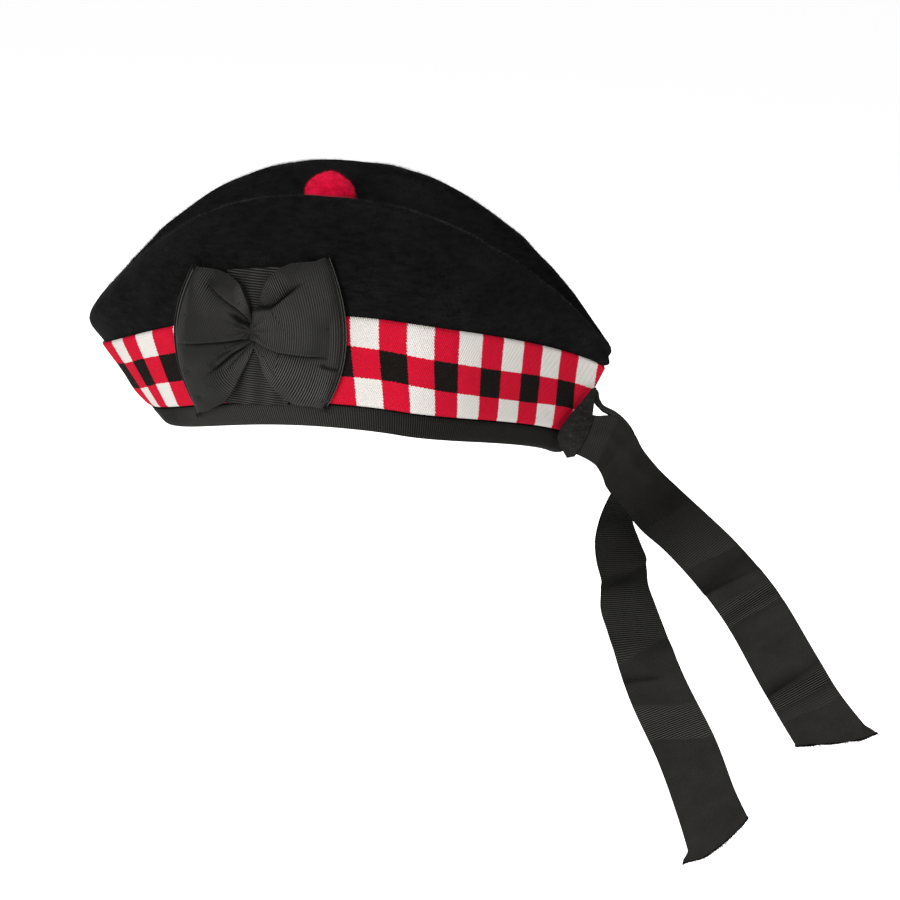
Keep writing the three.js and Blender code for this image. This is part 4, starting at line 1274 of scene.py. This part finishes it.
# ---- ribbon tails and back tab --------------------------------------------------------------
# Strips of cloth, one row per line across from the root to the end, in mm: x, y and z of its low
# and of its high edge.
TAIL_RIGHT = (
    (114.6, -6.8, 5.8, 122.6, -6.6, 27.5), (126.5, -10.3, 2.9, 131.5, -5.6, 23.4),
    (134.2, -14.6, -0.3, 142, -4, 23.3), (138.0, -19, -4.9, 149.4, -3, 17.9),
    (140.2, -21, -8.7, 155.8, -5, 9), (142.9, -20.8, -12.6, 161.1, -6, 3.5),
    (148.2, -18, -19.1, 166.6, -5, -2.7), (160, -11, -33.5, 181.1, 0, -16.1),
    (172.6, -7, -44.3, 193.9, 4, -27.5), (186.6, -10, -56.9, 208.4, 0, -39),
    (205.4, -13, -77.6, 230.5, -5, -60.7), (227.8, -6, -113.7, 255, -1, -96),
    (239.4, -10, -130.2, 267.8, -6, -113.3), (248.2, -11, -142.6, 288, -10, -135),
)
TAIL_LEFT = (
    (126.1, 3.0, 28.2, 121.5, 12.0, 32.0), (131.0, 3.6, 28.0, 131.8, 12.5, 32.3),
    (135.5, 5, 23.0, 136, 30, 20.2), (142.5, 5, 19.6, 143.1, 36, 15.0),
    (147.1, 4, 16.2, 148.0, 34.5, 11.8), (151.3, 3, 11.8, 153.7, 33, 5.4),
    (153.0, 2, 6.2, 157.5, 32, -1.0), (149.4, 1, -5.7, 158.4, 31, -14.6),
    (144.2, 0, -16.4, 157.6, 28, -27.9), (139.1, -3, -29.6, 156.1, 24, -38.5),
    (137.3, -4, -42.2, 160.1, 19, -47.5), (138.6, -5, -52.5, 164.9, 15, -58),
    (142.5, -4, -66, 166.4, 15, -69.4), (143.1, -1, -80, 171.2, 13, -80.3),
    (148.4, 1, -95, 177.7, 9, -93.2), (161.1, -4, -126.2, 188.9, 0, -113.8),
    (178.8, -8, -158.8, 207.9, -4, -145.7), (192, -5, -190.6, 220.5, -1, -174),
    (201.6, -3, -217, 228.6, -2, -188.5),
)
BACK_TAB = (
    (129.2, -4.5, 36.3, 131.6, -4.1, 37.1), (122.6, -10.5, 27.8, 130.9, -7.7, 29.7),
    (115.5, -13.5, 17.2, 130.2, -8.5, 19.6), (114.1, -13.3, 12.4, 128.2, -9.8, 13.0),
    (116.8, -11, 6.3, 125.7, -10.7, 7.4), (119.6, -10, 1.8, 123.3, -10.7, 2.8),
)
# Soft folds across a tail: place along it in mm at the low and at the high edge, height, reach.
FOLDS_RIGHT = (
    (10, 14, 0.9, 3.0), (19, 26, -1.1, 3.2), (26, 33, 1.0, 3.0), (34, 42, -0.7, 4.0), (52, 46, -0.5, 6.0),
    (143, 142, -0.7, 2.2), (205, 207, 0.3, 6.0),
)
FOLDS_LEFT = (
    (12, 14, -0.4, 4.0), (30, 28, 0.1, 4.0), (50, 46, -0.5, 5.0), (152, 156, -0.5, 4.0),
    (160, 164, 0.9, 4.5), (183, 186, 0.4, 4.0), (240, 236, 0.4, 8.0),
)
# Creases where the cloth steps up past the line: place at the low and high edge, step, its
# reach, how gently it turns, the share of the width it runs, and how dark the painted shade before it is.
CREASE_COLUMNS = ("low", "high", "depth", "reach", "turn", "until", "dark")
CREASES_RIGHT = ((119.0, 123.5, 1.6, 5.0, 1.0, 2.0, 0.4), (187.2, 183.7, 1.3, 3.4, 0.8, 2.0, 0.35))
CREASES_LEFT = ((124.5, 111.5, -1.2, 4.5, 2.0, 2.0, 0.0), (130.5, 117.0, 0.4, 6.0, 4.0, 2.0, 0.35),
                (175.0, 178.0, 1.2, 3.5, 1.3, 0.6, 0.5), (205.5, 216.0, -0.5, 3.0, 0.8, 2.0, 0.0))
# Stretches where the cords stand open, with their crests painted paler and their grooves painted darker:
# from, to (at the low edge), lean to the high edge, how much.
OPEN_RIGHT = ((4, 20, 3, 0.25), (72, 104, 3, 0.4), (131, 142.5, 1, 1.0), (188, 196, -2, 1.0),
              (196, 203, 0, 0.3))
OPEN_LEFT = ((10, 40, 0, 0.3), (98, 123, -12, 0.45), (130, 166, -10, 0.55), (186, 205.5, 10.5, 0.8))
# Broad stretches of painted shade that darken the ribbon: place along it in mm, reach, how much darker.
PAINTED_SHADE_RIGHT = ((14, 12, 0.2), (69, 27, 0.62), (116, 5, 0.35), (138, 6, 0.5), (191, 8, 0.35))
PAINTED_SHADE_LEFT = ((12, 12, 0.6), (84, 9, 0.35), (112, 42, 0.42), (123, 5, 0.15), (152, 10, 0.15),
             (202, 8, 0.1))
# Each tail: its node, the tables above, how far its cut end bulges in mm, the shift of the
# cut's curled corner in mm, whether that is at the high edge, and a seed.
TAILS = (
    {"node": "tail_right", "rows": TAIL_RIGHT, "folds": FOLDS_RIGHT, "creases": CREASES_RIGHT,
     "open": OPEN_RIGHT, "painted_shade_amount": PAINTED_SHADE_RIGHT, "bulge": 1.0, "curl": (0.5, -2.5, 3.2), "high": True,
     "seed": 71},
    {"node": "tail_left", "rows": TAIL_LEFT, "folds": FOLDS_LEFT, "creases": CREASES_LEFT,
     "open": OPEN_LEFT, "painted_shade_amount": PAINTED_SHADE_LEFT, "bulge": 2.6, "curl": (-4.6, -1.5, 0.8), "high": False,
     "seed": 72},
)
TAIL_WIDTH = 28.0    # the ribbon's width, for its cloth's uv
TAIL_COLUMNS = 25    # columns of its grid across its width
TAB_WIDTH = 14.0     # the tab's width, for its cloth's uv
TAB_COLUMNS = 33     # columns of its grid across its width
TAB_STEP = 0.4       # distance between its rows
CUT_THREADS = 190    # thread ends along a cut


def strip(rows, step, columns, bulge=0.0):
    """The middle of a strip of cloth between two smooth edges, evenly stepped along its length.

    bulge lets the far end out by 4 f (1 - f) times itself in mm across the width. Also gives
    the strip's length and the shares of the width its columns lie at.
    """
    table = np.array(rows, float)
    edges = np.stack([table[:, :3], table[:, 3:]], 1)
    fine = np.linspace(0, len(rows) - 1, 3000)
    rail = through(edges, np.broadcast_to(fine[:, None], (len(fine), 2)))
    run = lengths(rail.mean(1)[:, None], 0)[:, 0]
    count = int(round(run[-1] / step)) + 1
    place = np.interp(np.linspace(0, run[-1], count), run, fine)
    across = np.concatenate([[0.0], np.linspace(0.015, 0.985, columns - 2), [1.0]])
    extra = bulge * 4 * across * (1 - across)
    stretch = ease(0.9, 1.0, place / (len(rows) - 1))[:, None] * extra[None, :]
    rail = through(edges, np.broadcast_to(place[:, None], (count, 2)))
    points = rail[:, :1] * (1 - across[None, :, None]) + rail[:, 1:] * across[None, :, None]
    way = np.gradient(points, axis=0)
    way /= np.linalg.norm(way, axis=-1, keepdims=True).clip(1e-9)
    return points + way * stretch[..., None], run[-1], across[None, :]


def fold_height(long, across, folds):
    """Sum of the folds: a bell over the distance from a line that leans from edge to edge."""
    total = np.zeros(np.broadcast(long, across).shape)
    for low, high, height, reach in folds:
        total += height * np.exp(-((long - (low + (high - low) * across)) / reach) ** 2)
    return total


def crease_height(long, across, creases, seed):
    """Sum of the creases' steps, and the painted shade before them.

    A step is depth * tanh(distance / turn) * exp(-|distance| / reach) over the distance past a
    wavering line; the painted shade before it is a bell over the same distance.
    """
    total = np.zeros(np.broadcast(long, across).shape)
    tuck = np.zeros(total.shape)
    for row in creases:
        c = dict(zip(CREASE_COLUMNS, row))
        past = long - (c["low"] + (c["high"] - c["low"]) * across)
        past = past + 0.6 * waves(across * 6 + 0 * long, long / 40, seed)
        uneven = 0.8 + 0.4 * waves(across * 3, 0, seed + 1)
        runs = (1 - ease(c["until"] - 0.15, c["until"] + 0.15, across)) * uneven
        total += c["depth"] * np.tanh(past / c["turn"]) * np.exp(-np.abs(past) / c["reach"]) * runs
        before = np.exp(-((past + 0.3) / c["reach"]) ** 2) * (1 - ease(-c["turn"], c["turn"], past))
        tuck = np.maximum(tuck, c["dark"] * before * runs)
    return total, tuck


def open_stretches(long, across, stretches):
    """How open the cords stand, 0.03 to 1: soft-ended steps from the table's stretches."""
    crisp = np.full(np.broadcast(long, across).shape, 0.03)
    for low, high, lean, much in stretches:
        place = long - lean * across + 1.3 * waves(across * 4, long / 10, 90)
        inside = ease(low - 2.5, low + 2.5, place) * (1 - ease(high - 1.0, high + 1.0, place))
        crisp = np.maximum(crisp, much * inside)
    return crisp


def painted_shade_along(long, across, stretches, seed):
    """How much painted shade darkens the ribbon, 0.05 to 0.9: bells over the place along it, a little
    uneven.
    """
    painted_shade_amount = np.full(np.broadcast(long, across).shape, 0.05)
    for place, reach, much in stretches:
        painted_shade_amount += much * np.exp(-((long - place + 2.0 * waves(across * 3, long / 20, seed)) / reach) ** 2)
    return np.clip(painted_shade_amount, 0, 0.9)


class GLENGARRY_OT_tails(bpy.types.Operator):
    """Two ribbon tails hanging from the back seam, with their frayed cut ends"""
    bl_idname = "glengarry.tails"
    bl_label = "Tails"

    def execute(self, context):
        s = sizes()
        cloth = ribbon_material("tail_ribbon", shade(dye("ribbon"), 1.36), s["rib_pitch"],
                                painted_crest_light=3.3, sheen=0.0, specular=0.02)
        thread = wool_material("frayed_thread", shade(dye("ribbon"), 0.3), hair=2000.0, flecks=0.5)
        for tail in TAILS:
            name = tail["node"] + "_ribbon"
            points, total, uv, values = self.surface(s, tail)
            thing = open_sheet(name, points, uv, s["ribbon_wall"], values, turn=False)
            finish_piece(thing, cloth, [tail["node"]])
            self.fray(name + "_fray", points, thread, tail["seed"])
        return {"FINISHED"}

    def surface(self, s, tail):
        """A tail's points, length, uv layer and the values of its cloth.

        The strip is lifted along its normal by the folds, the creases, soft waves, a ridge that
        runs slantwise down from the root, and the cords; then the corner of the cut is curled.
        """
        step = s["rib_pitch"] / CORD_STEPS
        flat, total, across = strip(tail["rows"], step, TAIL_COLUMNS, tail["bulge"])
        long = np.linspace(0, total, len(flat))[:, None]
        seed = tail["seed"]
        crisp = open_stretches(long, across, tail["open"])
        cord = (0.01 + 0.16 * crisp) * np.cos(2 * np.pi * long / s["rib_pitch"])
        soft = 0.35 * waves(long / 13, across * 2.2, seed) + 0.1 * waves(long / 4, across * 6, seed + 5)
        streak = 0.9 * np.exp(-((across - 0.45 - 0.006 * long) / 0.13) ** 2)
        streak = streak * ease(6, 16, long) * (1 - ease(30, 60, long))
        step, tuck = crease_height(long, across, tail["creases"], seed + 9)
        # Painted shade before the creases and along the listed stretches; the ribbon is also darkened along
        # its two edges.
        tuck = np.maximum(tuck, 0.85 * (np.abs(across - 0.5) > 0.495))
        tuck = 1 - (1 - tuck) * (1 - painted_shade_along(long, across, tail["painted_shade_amount"], seed + 12))
        lift = fold_height(long, across, tail["folds"]) + step + (soft + streak) * ease(0, 12, long) + cord
        corner = across if tail["high"] else 1 - across
        bent = ease(0.72, 1.0, corner) ** 2 * ease(total - 7, total, long)
        points = flat - normals(flat) * lift[..., None] + bent[..., None] * np.array(tail["curl"])
        return points, total, cloth_uv(long, across * TAIL_WIDTH), {"crisp": crisp, "tuck": tuck}

    def fray(self, name, points, cloth, seed):
        """Along the cut: a dense row of short thread ends, a few of them long, and a thick edge.

        A thread goes straight on from the cloth and bends aside by the square of its length.
        """
        rng = np.random.default_rng(seed + 20)
        end = points[-1]
        way = points[-1] - points[-9]
        way /= np.linalg.norm(way, axis=-1, keepdims=True)
        count = CUT_THREADS
        place = np.linspace(0, len(end) - 1, count)
        pick = np.clip(np.round(place).astype(int), 0, len(end) - 1)
        start = np.stack([np.interp(place, np.arange(len(end)), end[:, k]) for k in range(3)], -1)
        start = start - way[pick] * 0.7 + rng.normal(size=(count, 3)) * 0.12
        f = np.linspace(0, 1, FRAY_STEPS)[None, :, None]
        long = np.where(rng.uniform(size=count) > 0.93, 2.4, 1.15)[:, None, None]
        long = long * rng.uniform(0.7, 1.15, (count, 1, 1))
        sway = rng.normal(size=(count, 1, 3)) * 0.4
        path = start[:, None] + way[pick][:, None] * f * long + sway * f ** 2 * long
        radius = 0.19 - 0.07 * np.linspace(0, 1, FRAY_STEPS)[None, :]
        finish_piece(tubes(name, path, radius, 5), cloth)
        fine = np.linspace(0, len(end) - 1, 260)
        roll = np.stack([np.interp(fine, np.arange(len(end)), end[:, k]) for k in range(3)], -1)
        roll = roll + rng.normal(size=roll.shape) * 0.07
        roll[:, 1] += 0.3 * waves(fine / 1.6, 0 * fine, seed + 30)
        roll[:, 2] += 0.35 * waves(fine / 2.2, 0 * fine, seed + 31)
        thick = 0.6 + 0.22 * waves(fine / 0.9, 0 * fine, seed + 32)
        finish_piece(tubes(name + "_roll", roll[None], thick[None], 8), cloth)


class GLENGARRY_OT_tab(bpy.types.Operator):
    """Wool strip sewn over the foot of the back seam, over the root of the right tail"""
    bl_idname = "glengarry.tab"
    bl_label = "Back tab"

    def execute(self, context):
        s = sizes()
        flat, total, across = strip(BACK_TAB, TAB_STEP, TAB_COLUMNS)
        long = np.linspace(0, total, len(flat))[:, None]
        lift = 0.25 * waves(long / 5, across * 3, 81) + 0.12 * waves(long / 1.6, across * 9, 82)
        points = flat - normals(flat) * lift[..., None]
        uv = cloth_uv(long, across * TAB_WIDTH)
        thing = open_sheet("back_tab_wool", points, uv, s["tab_wall"], turn=False)
        wool = wool_material("tab_wool", shade(dye("ribbon"), 0.85), hair=600.0, flecks=3.0,
                             sheen=0.01, depth=0.0012)
        finish_piece(thing, wool, ["back_tab"])
        roots, out = scatter(points[2:-2], np.ones(points[2:-2].shape[:2]), 900, 83)
        out = np.where(out[:, 1:2] < 0, out, -out)
        hairs = fibres("back_tab_nap", roots + out * s["tab_wall"] / 2, out, 1.0, 0.06, 0.8, 84)
        finish_piece(hairs, wool)
        return {"FINISHED"}


# ---- stage ----------------------------------------------------------------------------------
# The camera: distance in metres from what it looks at, angles in degrees, lens in mm.
CAMERA = {"far": 1.155, "rise": 15.5, "turn": 2.3, "roll": 3.6, "lens": 91.345}
CAMERA_AIM = (0.0605, 0.0, -0.0017)
FLOOR_HEIGHT = -0.31     # in metres
# Square area lights: name, place and width in metres, and watts; and the point they look at.
LIGHTS = (("key", (-0.7, -2.1, 0.58), 1.0, 54.0), ("fill", (1.5, -1.9, 0.35), 1.6, 12.0),
          ("top", (0.0, 1.3, 1.5), 1.0, 28.0))
LIGHT_AIM = (0.02, 0.0, 0.03)
FLOOR_GLOW = 0.66        # the floor's own light, which makes it even
WORLD_LIGHT = 0.34       # the light from all round


class GLENGARRY_OT_stage(bpy.types.Operator):
    """Wide pale floor, soft lights and the camera"""
    bl_idname = "glengarry.stage"
    bl_label = "Stage"

    def execute(self, context):
        x = np.linspace(-30, 30, 5)[:, None]
        y = np.linspace(-20, 60, 9)[None, :]
        points = np.stack(np.broadcast_arrays(x, y, FLOOR_HEIGHT), -1) / MM
        uv = cloth_uv(points[..., 0], points[..., 1])
        floor = grid_object("floor", points, uv, outward=False)
        if floor.data.polygons[0].normal.z < 0:
            floor.data.flip_normals()
        material, _, shader = start_material("studio_floor", 0.9, 0.0)
        shader.inputs["Base Color"].default_value = (*dye("floor"), 1.0)
        shader.inputs["Emission Color"].default_value = (1.0, 1.0, 1.0, 1.0)
        shader.inputs["Emission Strength"].default_value = FLOOR_GLOW
        floor.data.materials.append(material)
        bpy.context.scene.view_settings.view_transform = "Standard"
        self.camera()
        self.lights()
        return {"FINISHED"}

    def camera(self):
        """The camera: turned and raised round its aim, then rolled about its line of sight."""
        rise, turn, roll = (math.radians(CAMERA[k]) for k in ("rise", "turn", "roll"))
        level = math.cos(rise)
        back = np.array([math.sin(turn) * level, -math.cos(turn) * level, math.sin(rise)])
        right = np.array([math.cos(turn), math.sin(turn), 0.0])
        up = np.cross(back, right)
        across = right * math.cos(roll) + up * math.sin(roll)
        upright = up * math.cos(roll) - right * math.sin(roll)
        place = np.array(CAMERA_AIM) + back * CAMERA["far"]
        data = bpy.data.cameras.new("camera")
        data.lens = CAMERA["lens"]
        data.sensor_width = 36.0
        data.clip_start = 0.05
        camera = bpy.data.objects.new("camera", data)
        matrix = np.eye(4)
        matrix[:3] = np.stack([across, upright, back, place], -1)
        camera.matrix_world = mathutils.Matrix(matrix.tolist())
        bpy.context.scene.collection.objects.link(camera)
        bpy.context.scene.camera = camera

    def lights(self):
        """The area lights and an even white world."""
        for name, place, width, power in LIGHTS:
            data = bpy.data.lights.new(name, "AREA")
            data.energy = power
            data.size = width
            light = bpy.data.objects.new(name, data)
            light.location = place
            way = np.array(place) - np.array(LIGHT_AIM)
            way /= np.linalg.norm(way)
            light.rotation_mode = "QUATERNION"
            light.rotation_quaternion = mathutils.Vector(way).to_track_quat("Z", "Y")
            bpy.context.scene.collection.objects.link(light)
        world = bpy.data.worlds.new("studio")
        world.use_nodes = True
        backdrop = world.node_tree.nodes["Background"]
        backdrop.inputs[0].default_value = (1.0, 1.0, 1.0, 1.0)
        backdrop.inputs[1].default_value = WORLD_LIGHT
        bpy.context.scene.world = world


# ---- panel and registration -----------------------------------------------------------------
PIECES = (GLENGARRY_OT_crown, GLENGARRY_OT_band, GLENGARRY_OT_binding, GLENGARRY_OT_toorie,
          GLENGARRY_OT_cockade, GLENGARRY_OT_tab, GLENGARRY_OT_tails, GLENGARRY_OT_stage)


class GLENGARRY_PT_panel(bpy.types.Panel):
    """Lists the sizes, the colours and the pieces"""
    bl_label = "Glengarry"
    bl_idname = "GLENGARRY_PT_panel"
    bl_space_type = "VIEW_3D"
    bl_region_type = "UI"
    bl_category = "Glengarry"

    def draw(self, context):
        for held in (context.scene.glengarry_sizes, context.scene.glengarry_colours):
            box = self.layout.box()
            for key in type(held).__annotations__:
                box.prop(held, key)
        for piece in PIECES:
            self.layout.operator(piece.bl_idname)


CLASSES = (GlengarrySizes, GlengarryColours, *PIECES, GLENGARRY_PT_panel)


def register():
    for kind in CLASSES:
        bpy.utils.register_class(kind)
    bpy.types.Scene.glengarry_sizes = bpy.props.PointerProperty(type=GlengarrySizes)
    bpy.types.Scene.glengarry_colours = bpy.props.PointerProperty(type=GlengarryColours)


def unregister():
    del bpy.types.Scene.glengarry_colours
    del bpy.types.Scene.glengarry_sizes
    for kind in reversed(CLASSES):
        bpy.utils.unregister_class(kind)


def main():
    register()
    bpy.ops.glengarry.stage()
    bpy.ops.glengarry.crown()
    bpy.ops.glengarry.band()
    bpy.ops.glengarry.binding()
    bpy.ops.glengarry.toorie()
    bpy.ops.glengarry.cockade()
    bpy.ops.glengarry.tab()
    bpy.ops.glengarry.tails()


if __name__ == "__main__":
    main()
